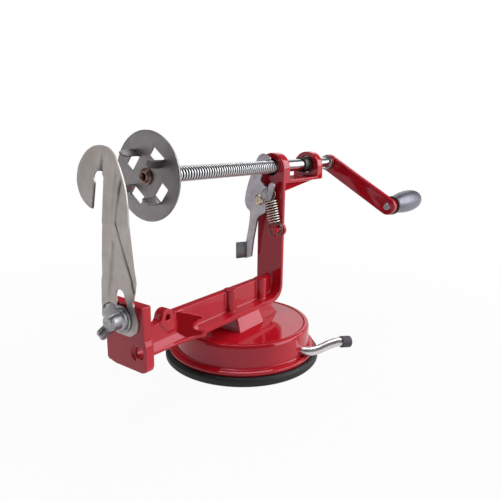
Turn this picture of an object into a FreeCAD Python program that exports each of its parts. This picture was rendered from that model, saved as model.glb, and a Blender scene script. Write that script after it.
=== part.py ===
import FreeCAD, Part
import math
import os

os.makedirs("parts", exist_ok=True)
V = FreeCAD.Vector

# ---------------------------------------------------------------------------
# Driving dimensions, millimetres. X runs along the feed screw (blade end at
# minus X, crank end at plus X), Z is up, and the origin is the middle of the
# underside of the suction foot.
# ---------------------------------------------------------------------------
SHAFT_Z = 144.0          # height of the feed screw axis
RUN = 0.06               # radial clearance of a running fit
GAP = 0.3                # air between pieces that pass close by
OVER = 1.0               # how far a cutting tool reaches past the face

# suction foot
FOOT_R = 60.0
FOOT_RIM_T = 6.4
FOOT_WEB_T = 3.4
FOOT_HOLLOW = 1.6
DRUM_R = 52.4
DRUM_TOP = 27.6
DRUM_WALL = 3.0
DRUM_EDGE = 2.4
SKIRT_R = 57.2
SKIRT_T = 3.2

# pedestal on the drum
PED_X0 = -24.0
PED_STEP_X = 3.0
PED_X1 = 28.0
PED_HALF = 16.5
PED_NARROW = 13.0
PED_DRAFT = 2.0

# main casting
BEAM_Z = DRUM_TOP + 8.9
BEAM_HALF = 12.0
BAND_T = 3.5
BAND_X0 = -59.0
WEB_HALF = 3.0
WEB_TOP = BEAM_Z + 19.7
NECK_TOP = BEAM_Z + 16.0
LEDGE_TOP = BEAM_Z + 5.6
NECK_X = -77.0
NECK_FLANGE_T = 2.4
NECK_FLANGE_HALF = 6.2
NECK_FILLET = 4.2
GUSSET_TOP = BEAM_Z + 13.8
GUSSET_T = 2.6
GUSSET_BITE_R = 4.2
PLATE_X0 = -115.5
PLATE_T = 6.5
PLATE_HALF = 17.6
PLATE_RELIEF = 1.4       # how much the near side steps in above the neck
PLATE_Z0 = BEAM_Z - 5.5
PLATE_Z1 = BEAM_Z + 35.5
POST_X = 36.5
POST_T = 3.2
RIB_DEEP = 8.0
CORNER_R = 12.0
LUG_T = 9.5
REAR_LUG_X = POST_X + 54.5
REAR_LUG_T = 9.0
YOKE_Z = SHAFT_Z - 10.0
YOKE_T = 2.4
EAR_X = -83.5
EAR_Z = BEAM_Z + 17.7
EAR_R = 5.6
EAR_HALF = 3.8
EAR_HOLE_R = 2.0
SIDE_HOLE_Y = -10.2
SIDE_HOLE_Z = BEAM_Z + 6.2
SIDE_HOLE_R = 3.9
SCREW_BOSS_X = (-19.0, 20.0)
SCREW_BOSS_R = 4.8

# feed screw
SCREW_R = 5.0
CORE_R = 3.9
PITCH = 2.5
THREAD_X0 = -88.0
THREAD_X1 = 60.0
SCREW_X0 = THREAD_X0 - 5.0
CRANK_X = REAR_LUG_X + REAR_LUG_T + 29.0
TENON_R = 4.0
TENON_FLAT = 3.2
SKEWER_R = 1.6
SKEWER_DEPTH = 60.0

# potato fork
DISC_R = 26.7
DISC_T = 1.2
HUB_R = 3.4
HUB_OUT = 4.0
HUB_FLANGE_R = 4.8
PRONG_L = 11.0
PRONG_W = 6.2
WINDOW_R = 14.5
WINDOW_W = 6.4
WINDOW_A0 = 38.5

# crank
ARM_T = 6.0
ARM_W = 15.0
ARM_L = 70.5
ARM_ANGLE = 30.9
ARM_BOSS_R = 7.0
ARM_BOSS_T = 3.0
PIN_R = 3.0
KNOB_L = 64.0
END_BOSS_R = 7.0
END_BOSS_T = 3.5
KNOB_R = 10.2
KNOB_NECK_R = 6.6
KNOB_WASHER_R = 8.4
KNOB_WASHER_T = 6.0

# thread latch
LATCH_X = POST_X - 6.5
LATCH_T = 2.0
PIVOT_Y = 6.5
PIVOT_Z = SHAFT_Z - 26.0
PIVOT_R = 2.0
PIVOT_HEAD_R = 4.2
TAB_Y = 20.4
TAB_LONG = 7.4
TAB_H = 13.5
TAB_BEND = 65.0
LATCH_TOOTH_T = 0.5
LATCH_TOOTH_R = 4.5
SPRING_WIRE = 1.1
SPRING_R = 4.6
SPRING_COILS = 10
SPRING_LEG_TOP = 2.4
SPRING_LEG_LOW = 1.2
PEG_Y = -9.2
PEG_Z = SHAFT_Z - 49.5
PEG_R = 3.0
HOOK_Y = -4.2
HOOK_Z = SHAFT_Z - 18.5
HOOK_R = 1.2
SPRING_LOOP_R = 3.4

# slicing blade and its clamp
BLADE_T = 1.2
BOLT_Y = -0.8
BOLT_Z = BEAM_Z + 24.0
BOLT_R = 3.0
HEAD_X = PLATE_X0 - 12.1
KEYHOLE_R = 3.4
LOBE_TILT = 3.0
SLOT_Y = 0.0
SLOT_HALF = 4.0
SEAT = 0.05              # air at a sliding seat
LUG_DROP = 1.0
FOOT_TOP_Z = BOLT_Z + 25.5
HEAD_LOW_Z = SHAFT_Z - 23.0
BLANK_HALF = 40.0        # half width of the sheet that the blade is cut from
WASHER_R = 8.5
WASHER_T = 1.2
WING_R = 5.6
WING_HUB_T = 7.0
WING_DOME = 1.6

# suction lever
ROD_R = 3.7
ROD_X = 4.0
ROD_Z = 13.9
CAM_R = 2.3
CAM_THROW = 1.3
CAM_START = -45.0
HANGER_Y = (-16.0, 16.0)  # bearing webs under the drum roof

# rear bush
BUSH_R = 7.0


# ---------------------------------------------------------------------------
# Small helpers
# ---------------------------------------------------------------------------
def box(x0, x1, y0, y1, z0, z1):
    return Part.makeBox(x1 - x0, y1 - y0, z1 - z0, V(x0, y0, z0))


def rod_x(y, z, r, x0, x1):
    return Part.makeCylinder(r, x1 - x0, V(x0, y, z), V(1, 0, 0))


def rod_y(x, z, r, y0, y1):
    return Part.makeCylinder(r, y1 - y0, V(x, y0, z), V(0, 1, 0))


def rod_z(x, y, r, z0, z1):
    return Part.makeCylinder(r, z1 - z0, V(x, y, z0), V(0, 0, 1))


def plate_x(points, x0, x1):
    """Prism along X over (y, z) points."""
    wire = Part.makePolygon([V(x0, y, z) for y, z in points + points[:1]])
    return Part.Face(wire).extrude(V(x1 - x0, 0, 0))


def plate_y(points, y0, y1):
    """Prism along Y over (x, z) points."""
    wire = Part.makePolygon([V(x, y0, z) for x, z in points + points[:1]])
    return Part.Face(wire).extrude(V(0, y1 - y0, 0))


def turned_z(points, x=0.0, y=0.0):
    """Solid turned about a vertical axis from (radius, z) points."""
    wire = Part.makePolygon([V(x + r, y, z) for r, z in points + points[:1]])
    return Part.Face(wire).revolve(V(x, y, 0), V(0, 0, 1), 360)


def turned_x(points, y, z):
    """Solid turned about an axis along X from (x, radius) points."""
    wire = Part.makePolygon([V(x, y, z + r) for x, r in points + points[:1]])
    return Part.Face(wire).revolve(V(0, y, z), V(1, 0, 0), 360)


def join(*shapes):
    out = shapes[0].fuse(list(shapes[1:])) if len(shapes) > 1 else shapes[0]
    return out.removeSplitter()


def polar(radius, degrees):
    """(y, z) at a radius and an angle counted from plus Y towards plus Z."""
    a = math.radians(degrees)
    return radius * math.cos(a), radius * math.sin(a)


def save(name, shape, solids=1):
    if not shape.isValid():
        raise ValueError(name + " is not a valid shape")
    if len(shape.Solids) != solids:
        raise ValueError("%s has %d solids" % (name, len(shape.Solids)))
    if shape.ShapeType == "Compound" and solids == 1:
        shape = shape.Solids[0]
    shape.exportStep("parts/" + name + ".step")


# ---------------------------------------------------------------------------
# Red castings
# ---------------------------------------------------------------------------
def frame_casting():
    post_back = POST_X + POST_T
    band_z1 = BEAM_Z + BAND_T
    lug_back = POST_X + LUG_T
    rear_back = REAR_LUG_X + REAR_LUG_T
    plate_back = PLATE_X0 + PLATE_T
    lug_r = BEAM_HALF

    band = box(BAND_X0, post_back - CORNER_R, -BEAM_HALF, BEAM_HALF, BEAM_Z, band_z1)
    post = box(POST_X, post_back, -BEAM_HALF, BEAM_HALF, BEAM_Z + CORNER_R, YOKE_Z)
    outer = rod_y(post_back - CORNER_R, BEAM_Z + CORNER_R, CORNER_R, -BEAM_HALF, BEAM_HALF)
    inner = rod_y(post_back - CORNER_R, BEAM_Z + CORNER_R, CORNER_R - BAND_T, -BEAM_HALF, BEAM_HALF)
    quarter = box(post_back - CORNER_R, post_back, -BEAM_HALF, BEAM_HALF, BEAM_Z, BEAM_Z + CORNER_R)
    corner = outer.cut(inner).common(quarter)

    web = plate_y([(NECK_X, BEAM_Z), (POST_X + 1.0, BEAM_Z), (POST_X + 1.0, WEB_TOP), (NECK_X + 6.0, WEB_TOP),
                   (NECK_X, WEB_TOP)], -WEB_HALF, WEB_HALF)
    neck = box(plate_back - 1.0, NECK_X + 1.0, -WEB_HALF, WEB_HALF, BEAM_Z - BAND_T, NECK_TOP)
    half = NECK_FLANGE_HALF
    fillets = plate_x([(-half, BEAM_Z - 1.0), (half, BEAM_Z - 1.0), (half, BEAM_Z),
                       (WEB_HALF, BEAM_Z + NECK_FILLET), (-WEB_HALF, BEAM_Z + NECK_FILLET),
                       (-half, BEAM_Z)], plate_back - 1.0, BAND_X0 + 1.0)

    # flange under the neck, flaring out to the width of the band
    flare = [(plate_back - 1.0, half), (NECK_X, half + 0.9), (NECK_X + 9.0, half + 2.4),
             (BAND_X0 - 4.0, half + 3.8), (BAND_X0, BEAM_HALF), (BAND_X0 + 3.0, BEAM_HALF)]
    rim = [V(x, -y, BEAM_Z - NECK_FLANGE_T) for x, y in flare]
    rim += [V(x, y, BEAM_Z - NECK_FLANGE_T) for x, y in reversed(flare)]
    flange = Part.Face(Part.makePolygon(rim + rim[:1])).extrude(V(0, 0, NECK_FLANGE_T))
    ear = rod_y(EAR_X, EAR_Z, EAR_R, -EAR_HALF, EAR_HALF)
    buttress = plate_y([(EAR_X - EAR_R - 1.8, NECK_TOP), (EAR_X - 0.5, LEDGE_TOP + 2.0),
                        (EAR_X + EAR_R + 1.0, LEDGE_TOP + 2.0), (EAR_X + EAR_R, EAR_Z),
                        (EAR_X - EAR_R, EAR_Z)], -EAR_HALF, EAR_HALF)

    # slanted gussets from the web out to the corners of the band, each with a
    # rounded bite out of its free edge
    gussets = []
    for side in (-1, 1):
        root = V(NECK_X + 1.5, side * (WEB_HALF - 0.5), BEAM_Z - 0.5)
        tip = V(BAND_X0 - 1.5, side * BEAM_HALF, BEAM_Z - 0.5)
        wall = [root, tip, V(tip.x, tip.y, GUSSET_TOP), V(root.x, root.y, WEB_TOP)]
        run = tip.sub(root)
        inward = V(-side * run.y, side * run.x, 0).normalize().multiply(-GUSSET_T)
        wall = Part.Face(Part.makePolygon(wall + wall[:1])).extrude(inward)
        gussets.append(wall.cut(rod_x(side * (BEAM_HALF + 0.6), BEAM_Z + 7.7, GUSSET_BITE_R,
                                      BAND_X0 - 12.0, BAND_X0 + 6.0)))

    # end plate for the blade
    end = box(PLATE_X0, plate_back, -PLATE_HALF, PLATE_HALF, PLATE_Z0, PLATE_Z1)
    low = [e for e in end.Edges
           if abs(e.CenterOfMass.z - PLATE_Z0) < 0.1 and abs(abs(e.CenterOfMass.y) - PLATE_HALF) < 0.1]
    end = end.makeFillet(7.0, low)
    relief = -PLATE_HALF + PLATE_RELIEF
    end = end.cut(plate_x([(-PLATE_HALF - 1, BEAM_Z + 11.0), (-PLATE_HALF, BEAM_Z + 11.0),
                           (relief, BEAM_Z + 15.5), (relief, PLATE_Z1 + 1), (-PLATE_HALF - 1, PLATE_Z1 + 1)],
                          PLATE_X0 - 1, plate_back + 1))
    end = end.cut(rod_x(BOLT_Y, BOLT_Z, BOLT_R, PLATE_X0 - 1, plate_back + 1))
    end = end.cut(box(plate_back - 2.2, plate_back + 1, BOLT_Y - BOLT_R, BOLT_Y + BOLT_R,
                      BOLT_Z - BOLT_R, BOLT_Z + BOLT_R))
    end = end.cut(rod_x(SIDE_HOLE_Y, SIDE_HOLE_Z, SIDE_HOLE_R, PLATE_X0 - 1, plate_back + 1))
    end = end.cut(rod_x(SIDE_HOLE_Y, SIDE_HOLE_Z, SIDE_HOLE_R + 1.4, PLATE_X0 - 1, PLATE_X0 + 1.2))

    # screw bosses on the web, drilled from below
    bosses = []
    drills = []
    for x in SCREW_BOSS_X:
        half = rod_z(x, -WEB_HALF, SCREW_BOSS_R, BEAM_Z, WEB_TOP + 1.2)
        bosses.append(half)
        drills.append(rod_z(x, -WEB_HALF, 1.9, BEAM_Z - 1, BEAM_Z + 13.0))

    # post rib, yoke and lugs
    rib = box(post_back - 0.5, post_back + RIB_DEEP, -WEB_HALF, WEB_HALF, BEAM_Z + CORNER_R, YOKE_Z)
    heel = plate_y([(post_back - 1.0, BEAM_Z + CORNER_R - 4.0), (post_back + RIB_DEEP, BEAM_Z + CORNER_R + 8.0),
                    (post_back + RIB_DEEP, BEAM_Z + CORNER_R + 12.0), (post_back - 1.0, BEAM_Z + CORNER_R + 12.0)],
                   -WEB_HALF, WEB_HALF)
    strut = plate_y([(post_back, YOKE_Z - 12.5), (rear_back - 2.0, YOKE_Z - 4.0),
                     (rear_back - 2.0, YOKE_Z - 1.0), (post_back, YOKE_Z - 1.0)], -WEB_HALF, WEB_HALF)
    floor = box(POST_X, rear_back, -BEAM_HALF, BEAM_HALF, YOKE_Z - YOKE_T, YOKE_Z)
    front = join(box(POST_X, lug_back, -lug_r, lug_r, YOKE_Z - YOKE_T, SHAFT_Z - LUG_DROP),
                 rod_x(0, SHAFT_Z - LUG_DROP, lug_r, POST_X, lug_back))
    rear = join(box(REAR_LUG_X, rear_back, -lug_r, lug_r, YOKE_Z - YOKE_T, SHAFT_Z - LUG_DROP),
                rod_x(0, SHAFT_Z - LUG_DROP, lug_r, REAR_LUG_X, rear_back))

    # latch pivot boss and the spring's anchor
    pivot = rod_x(PIVOT_Y, PIVOT_Z, 5.0, LATCH_X + LATCH_T + 0.1, POST_X + 0.5)
    anchor = rod_x(PEG_Y, PEG_Z, 5.2, POST_X, post_back)
    peg = rod_x(PEG_Y, PEG_Z, PEG_R, LATCH_X - 1.0, POST_X + 0.5)
    cap = rod_x(PEG_Y, PEG_Z, PEG_R + 0.8, LATCH_X - 2.2, LATCH_X - 1.0)

    body = join(band, corner, post, web, neck, fillets, flange, ear, buttress, *gussets, end, *bosses,
                rib, heel, strut, floor, front, rear, pivot, anchor, peg, cap)
    body = body.cut(rod_x(0, SHAFT_Z, SCREW_R + RUN, POST_X - 1, lug_back + 1))
    body = body.cut(rod_x(0, SHAFT_Z, BUSH_R, REAR_LUG_X - 1, rear_back + 1))
    body = body.cut(rod_y(EAR_X, EAR_Z, EAR_HOLE_R, -EAR_HALF - OVER, EAR_HALF + OVER))
    body = body.cut(rod_x(PIVOT_Y, PIVOT_Z, PIVOT_R, LATCH_X, post_back + 1))
    for drill in drills:
        body = body.cut(drill)
    save("frame_casting", body.removeSplitter())


def drafted_block(low_x0, high_x0, low_x1, high_x1, low_half, z0):
    """Block from a height up to the band, its sides sloping in to the band's width."""
    rings = []
    for x0, x1, half, z in ((low_x0, low_x1, low_half, z0), (high_x0, high_x1, BEAM_HALF, BEAM_Z)):
        ring = [V(x0, -half, z), V(x1, -half, z), V(x1, half, z), V(x0, half, z)]
        rings.append(Part.makePolygon(ring + ring[:1]))
    return Part.makeLoft(rings, True)


def base_housing():
    top = DRUM_TOP
    e = DRUM_EDGE
    z0 = FOOT_RIM_T
    shell = turned_z([(0, top - DRUM_WALL), (DRUM_R - DRUM_WALL, top - DRUM_WALL), (DRUM_R - DRUM_WALL, z0),
                      (SKIRT_R - 0.8, z0), (SKIRT_R, z0 + 0.8), (SKIRT_R, z0 + SKIRT_T - 0.8),
                      (SKIRT_R - 0.8, z0 + SKIRT_T), (DRUM_R, z0 + SKIRT_T),
                      (DRUM_R, top - e), (DRUM_R - 0.3 * e, top - 0.3 * e), (DRUM_R - e, top), (0, top)])
    wide = drafted_block(PED_X0, PED_X0 + PED_DRAFT, PED_STEP_X, PED_STEP_X, PED_HALF, top - 1)
    narrow = drafted_block(PED_STEP_X - 1, PED_STEP_X - 1, PED_X1, PED_X1 - PED_DRAFT, PED_NARROW, top - 1)
    hangers = []
    for y in HANGER_Y:
        hangers.append(box(ROD_X - 6.5, ROD_X + 6.5, y - 2.0, y + 2.0, ROD_Z - 6.0, top - DRUM_WALL + 1))
    boss = join(box(ROD_X - 7, ROD_X + 7, -DRUM_R + 1.0, -DRUM_R + 8.0, ROD_Z - 6.5, top - 2))
    body = join(shell, wide, narrow, *hangers, boss)
    body = body.cut(rod_y(ROD_X, ROD_Z, ROD_R + RUN, -DRUM_R - 2, max(HANGER_Y) + 4))
    for x in SCREW_BOSS_X:
        body = body.cut(rod_z(x, -WEB_HALF, 2.2, 0, BEAM_Z + 1))
        body = body.cut(rod_z(x, -WEB_HALF, 4.4, 0, top - DRUM_WALL + 3.0))
    save("base_housing", body.removeSplitter())


def frame_screws():
    seat = DRUM_TOP - DRUM_WALL + 3.0
    screws = []
    for x in SCREW_BOSS_X:
        head = rod_z(x, -WEB_HALF, 4.0, seat - 2.8, seat)
        shank = rod_z(x, -WEB_HALF, 1.9, seat - 0.1, BEAM_Z + 12.0)
        screw = join(head, shank)
        screw = screw.cut(box(x - 2.6, x + 2.6, -WEB_HALF - 0.5, -WEB_HALF + 0.5, seat - 3, seat - 1.4))
        screw = screw.cut(box(x - 0.5, x + 0.5, -WEB_HALF - 2.6, -WEB_HALF + 2.6, seat - 3, seat - 1.4))
        screws.append(screw)
    save("frame_screws", Part.makeCompound(screws), len(SCREW_BOSS_X))


# ---------------------------------------------------------------------------
# Suction foot and its lever
# ---------------------------------------------------------------------------
def suction_cup():
    t = FOOT_RIM_T
    body = turned_z([(0, FOOT_HOLLOW), (FOOT_R - 22, FOOT_HOLLOW), (FOOT_R - 14, 0), (FOOT_R - 1.2, 0),
                     (FOOT_R, 1.2), (FOOT_R, t - 1.4), (FOOT_R - 1.4, t), (FOOT_R - 12, t),
                     (FOOT_R - 16, FOOT_HOLLOW + FOOT_WEB_T), (0, FOOT_HOLLOW + FOOT_WEB_T)])
    save("suction_cup", body)


def suction_stem():
    base = FOOT_HOLLOW + FOOT_WEB_T + SEAT
    pad_r = max(HANGER_Y) - 3.0
    pad = turned_z([(0, base), (pad_r, base), (pad_r, base + 1.0), (6, base + 2.4), (0, base + 2.4)])
    half = CAM_THROW + CAM_R + 2.6
    eye_top = ROD_Z + CAM_THROW + CAM_R + 3.4
    eye = box(-half, ROD_X + half + 1.5, -3.0, 3.0, base + 1.0, eye_top)
    slot_z = ROD_Z + CAM_THROW * math.sin(math.radians(CAM_START))
    slot_x0 = ROD_X - CAM_THROW - CAM_R - 0.4
    slot_x1 = ROD_X + CAM_THROW + CAM_R + 0.4
    h = CAM_R + 0.15
    slot = box(slot_x0, slot_x1, -4, 4, slot_z - h, slot_z + h)
    save("suction_stem", join(pad, eye).cut(slot).removeSplitter())


def lever_points():
    z = ROD_Z
    return [V(ROD_X, -DRUM_R - 3.3, z), V(ROD_X + 8.0, -DRUM_R - 8.1, z + 1.4),
            V(ROD_X + 16.0, -DRUM_R - 20.6, z + 6.3), V(ROD_X + 20.8, -DRUM_R - 27.8, z + 6.9)]


def pipe(points, r):
    """Round bar through points, with balls at the bends."""
    out = []
    for a, b in zip(points, points[1:]):
        d = b.sub(a)
        out.append(Part.makeCylinder(r, d.Length, a, d))
    for p in points[1:-1]:
        out.append(Part.makeSphere(r, p))
    return join(*out)


def suction_lever():
    p = lever_points()
    inner = min(HANGER_Y) + 2.0 + 0.5
    outer = max(HANGER_Y) - 2.0 - 0.5
    main = rod_y(ROD_X, ROD_Z, ROD_R, p[0].y, inner)
    a = math.radians(CAM_START)
    cam = rod_y(ROD_X + CAM_THROW * math.cos(a), ROD_Z + CAM_THROW * math.sin(a), CAM_R, inner - 1, outer + 1)
    tail = rod_y(ROD_X, ROD_Z, ROD_R, outer, max(HANGER_Y) + 5.0)
    arm = pipe([V(p[0].x, p[0].y + 1.0, p[0].z)] + p, ROD_R)
    body = join(main, cam, tail, arm)
    groove = rod_y(ROD_X, ROD_Z, ROD_R + 1, max(HANGER_Y) + 2.3, max(HANGER_Y) + 3.3)
    groove = groove.cut(rod_y(ROD_X, ROD_Z, ROD_R - 0.7, max(HANGER_Y) + 2, max(HANGER_Y) + 4))
    save("suction_lever", body.cut(groove).removeSplitter())


def lever_clip():
    y = max(HANGER_Y) + 2.3
    ring = rod_y(ROD_X, ROD_Z, ROD_R + 2.6, y, y + 1.0)
    ring = ring.cut(rod_y(ROD_X, ROD_Z, ROD_R - 0.7, y - 1, y + 2))
    ring = ring.cut(box(ROD_X - 2.2, ROD_X + 2.2, y - 1, y + 2, ROD_Z - ROD_R - 4, ROD_Z))
    save("lever_clip", ring)


def lever_cap():
    p = lever_points()
    d = p[3].sub(p[2])
    d.normalize()
    start = p[3].sub(V(d.x * 9.0, d.y * 9.0, d.z * 9.0))
    outer = Part.makeCylinder(ROD_R + 1.4, 12.0, start, d)
    end = start.add(V(d.x * 12.0, d.y * 12.0, d.z * 12.0))
    outer = outer.makeFillet(1.6, [e for e in outer.Edges if (e.CenterOfMass.sub(end)).Length < 0.1])
    save("lever_cap", outer.cut(Part.makeCylinder(ROD_R, 9.0, start, d)))


# ---------------------------------------------------------------------------
# Feed screw, potato fork and crank
# ---------------------------------------------------------------------------
def thread_start():
    """Thread start that puts a groove in the latch plane on the plus Y side."""
    first = LATCH_X + LATCH_T / 2 - 0.75 * PITCH
    return first - PITCH * math.floor((first - THREAD_X0) / PITCH)


def tenon(x0, x1, grow):
    r = TENON_R + grow
    flat = TENON_FLAT + grow
    return rod_x(0, SHAFT_Z, r, x0, x1).common(box(x0, x1, -flat, flat, SHAFT_Z - r - 1, SHAFT_Z + r + 1))


def one_turn(profile, pitch, radius):
    """One turn of a closed profile swept along a helix about Z."""
    sweep = Part.BRepOffsetAPI.MakePipeShell(Part.Wire(Part.makeHelix(pitch, pitch, radius)))
    sweep.setBiNormalMode(V(0, 0, 1))
    sweep.add(profile)
    sweep.build()
    sweep.makeSolid()
    return sweep.shape()


def turns_in_line(turn, pitch, count):
    """Copies of one turn, end to end along Z."""
    copies = []
    for k in range(count):
        copy = turn.copy()
        copy.translate(V(0, 0, k * pitch))
        copies.append(copy)
    return copies


def feed_screw():
    x0 = thread_start()
    turns = math.floor((THREAD_X1 - x0) / PITCH)
    length = turns * PITCH
    base_half = 0.46 * PITCH
    crest_half = 0.14 * PITCH
    root = CORE_R - 0.3
    profile = Part.makePolygon([V(root, 0, -base_half), V(SCREW_R, 0, -crest_half), V(SCREW_R, 0, crest_half),
                                V(root, 0, base_half), V(root, 0, -base_half)])
    ridge = turns_in_line(one_turn(profile, PITCH, CORE_R), PITCH, turns)
    for turn in ridge:
        turn.rotate(V(0, 0, 0), V(0, 1, 0), 90)
        turn.translate(V(x0, 0, SHAFT_Z))
    end = x0 + length + 0.5 * PITCH
    collar_x1 = x0 - 0.6 * PITCH
    core = rod_x(0, SHAFT_Z, CORE_R, SCREW_X0, end + 1)
    bar = core.fuse(ridge).removeSplitter()
    arm_back = CRANK_X + ARM_BOSS_T + ARM_T
    bar = bar.fuse([rod_x(0, SHAFT_Z, SCREW_R, SCREW_X0, collar_x1),
                    rod_x(0, SHAFT_Z, SCREW_R, end, CRANK_X),
                    tenon(CRANK_X - 1, arm_back - 0.2, 0.0)])
    bar = bar.cut(rod_x(0, SHAFT_Z, 2.6, SCREW_X0 - 1, SCREW_X0 + 10.0))
    bar = bar.cut(rod_x(0, SHAFT_Z, SKEWER_R, SCREW_X0, SCREW_X0 + SKEWER_DEPTH))
    bar = bar.cut(rod_x(0, SHAFT_Z, 2.4, arm_back - 15.0, arm_back + 1))
    save("feed_screw", bar)


def fork_disc():
    back = SCREW_X0
    front = back - DISC_T
    disc = rod_x(0, 0, DISC_R, front, back)
    disc = disc.cut(rod_x(0, 0, HUB_R, front - 1, back + 1))
    half = PRONG_L / 2
    for k in range(4):
        window = box(front - 1, back + 1, WINDOW_R - WINDOW_W / 2, WINDOW_R + WINDOW_W / 2, -half, half)
        y0 = WINDOW_R - PRONG_W / 2
        tab = Part.makePolygon([V(back, y0, half), V(back, y0 + PRONG_W, half),
                                V(front - PRONG_L, y0 + PRONG_W, half), V(front - PRONG_L + 2.5, y0, half),
                                V(back, y0, half)])
        tab = Part.Face(tab).extrude(V(0, 0, DISC_T))
        angle = WINDOW_A0 + 90.0 * k
        window.rotate(V(0, 0, 0), V(1, 0, 0), angle)
        tab.rotate(V(0, 0, 0), V(1, 0, 0), angle)
        disc = disc.cut(window).fuse(tab)
    disc = disc.removeSplitter()
    disc.translate(V(0, 0, SHAFT_Z))
    save("fork_disc", disc)


def fork_hub():
    front = SCREW_X0 - DISC_T
    body = turned_x([(front - HUB_OUT, SKEWER_R), (SCREW_X0 + 10.0, SKEWER_R), (SCREW_X0 + 10.0, 2.6),
                     (SCREW_X0, 2.6), (SCREW_X0, HUB_R), (front, HUB_R), (front, HUB_FLANGE_R),
                     (front - 0.7, HUB_FLANGE_R), (front - 1.2, HUB_R), (front - HUB_OUT + 0.4, HUB_R),
                     (front - HUB_OUT, HUB_R - 0.4)], 0, SHAFT_Z)
    save("fork_hub", body)


def rear_bush():
    inner = SCREW_R + RUN
    body = turned_x([(REAR_LUG_X - 1.5, inner), (REAR_LUG_X + REAR_LUG_T, inner),
                     (REAR_LUG_X + REAR_LUG_T, BUSH_R), (REAR_LUG_X, BUSH_R), (REAR_LUG_X, BUSH_R + 0.8),
                     (REAR_LUG_X - 1.5, BUSH_R + 0.8)], 0, SHAFT_Z)
    save("rear_bush", body)


def thrust_washer():
    x1 = CRANK_X - 0.05
    body = turned_x([(x1 - 1.0, SCREW_R + RUN), (x1, SCREW_R + RUN), (x1, ARM_BOSS_R - 0.8),
                     (x1 - 1.0, ARM_BOSS_R - 0.8)], 0, SHAFT_Z)
    save("thrust_washer", body)


def crank_end():
    y, z = polar(ARM_L, 180.0 + ARM_ANGLE)
    return y, SHAFT_Z + z


def crank_arm():
    x0 = CRANK_X + ARM_BOSS_T
    x1 = x0 + ARM_T
    bar = box(x0, x1, 0, ARM_L, -ARM_W / 2, ARM_W / 2)
    bar = join(bar, rod_x(0, 0, ARM_W / 2, x0, x1), rod_x(ARM_L, 0, ARM_W / 2, x0, x1),
               rod_x(0, 0, ARM_BOSS_R, CRANK_X, x0 + 1),
               rod_x(ARM_L, 0, END_BOSS_R, x1 - 1, x1 + END_BOSS_T))
    bar.rotate(V(0, 0, 0), V(1, 0, 0), 180.0 + ARM_ANGLE)
    bar.translate(V(0, 0, SHAFT_Z))
    y, z = crank_end()
    bar = bar.cut(tenon(CRANK_X - 1, x1 + 1, 0.0))
    bar = bar.cut(rod_x(y, z, PIN_R, x0 - 1, x1 + END_BOSS_T + 1))
    save("crank_arm", bar)


def crank_screw():
    x = CRANK_X + ARM_BOSS_T + ARM_T
    head = turned_x([(x, 0), (x, 5.0), (x + 1.6, 4.6), (x + 2.6, 3.2), (x + 2.9, 0)], 0, SHAFT_Z)
    shank = rod_x(0, SHAFT_Z, 2.4, x - 12.0, x + 0.5)
    body = join(head, shank)
    body = body.cut(box(x + 1.4, x + 4, -0.5, 0.5, SHAFT_Z - 3, SHAFT_Z + 3))
    body = body.cut(box(x + 1.4, x + 4, -3, 3, SHAFT_Z - 0.5, SHAFT_Z + 0.5))
    save("crank_screw", body)


def handle_pin():
    y, z = crank_end()
    x0 = CRANK_X + ARM_BOSS_T
    knob_x = x0 + ARM_T + END_BOSS_T + KNOB_WASHER_T
    body = turned_x([(x0 - 0.5, 0), (x0 - 0.5, 2.4), (x0, PIN_R), (knob_x + KNOB_L - 11.8, PIN_R),
                     (knob_x + KNOB_L - 11.8, 4.4), (knob_x + KNOB_L - 10.0, 4.4),
                     (knob_x + KNOB_L - 9.0, 3.0), (knob_x + KNOB_L - 9.0, 0)], y, z)
    save("handle_pin", body)


def handle_ferrule():
    y, z = crank_end()
    x0 = CRANK_X + ARM_BOSS_T + ARM_T + END_BOSS_T
    x1 = x0 + KNOB_WASHER_T - 0.1
    body = turned_x([(x0, PIN_R), (x1, PIN_R), (x1, KNOB_WASHER_R - 0.6), (x1 - 0.6, KNOB_WASHER_R),
                     (x0 + 0.6, KNOB_WASHER_R), (x0, KNOB_WASHER_R - 0.6)], y, z)
    save("handle_ferrule", body)


def knob():
    y, z = crank_end()
    x0 = CRANK_X + ARM_BOSS_T + ARM_T + END_BOSS_T + KNOB_WASHER_T
    x1 = x0 + KNOB_L
    bore = PIN_R + RUN
    skin = []
    for t, k in ((0.0, 0.0), (0.14, 0.42), (0.35, 0.86), (0.56, 1.0), (0.76, 0.96), (0.9, 0.52), (0.97, 0.0),
                 (1.0, -0.4)):
        skin.append((x0 + t * KNOB_L, KNOB_NECK_R + k * (KNOB_R - KNOB_NECK_R)))
    recess = x0 + KNOB_L - 12.0
    inner = [(x1, 4.7), (recess, 4.7), (recess, bore), (x0, bore)]
    save("knob", turned_x(skin + inner, y, z))


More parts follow.
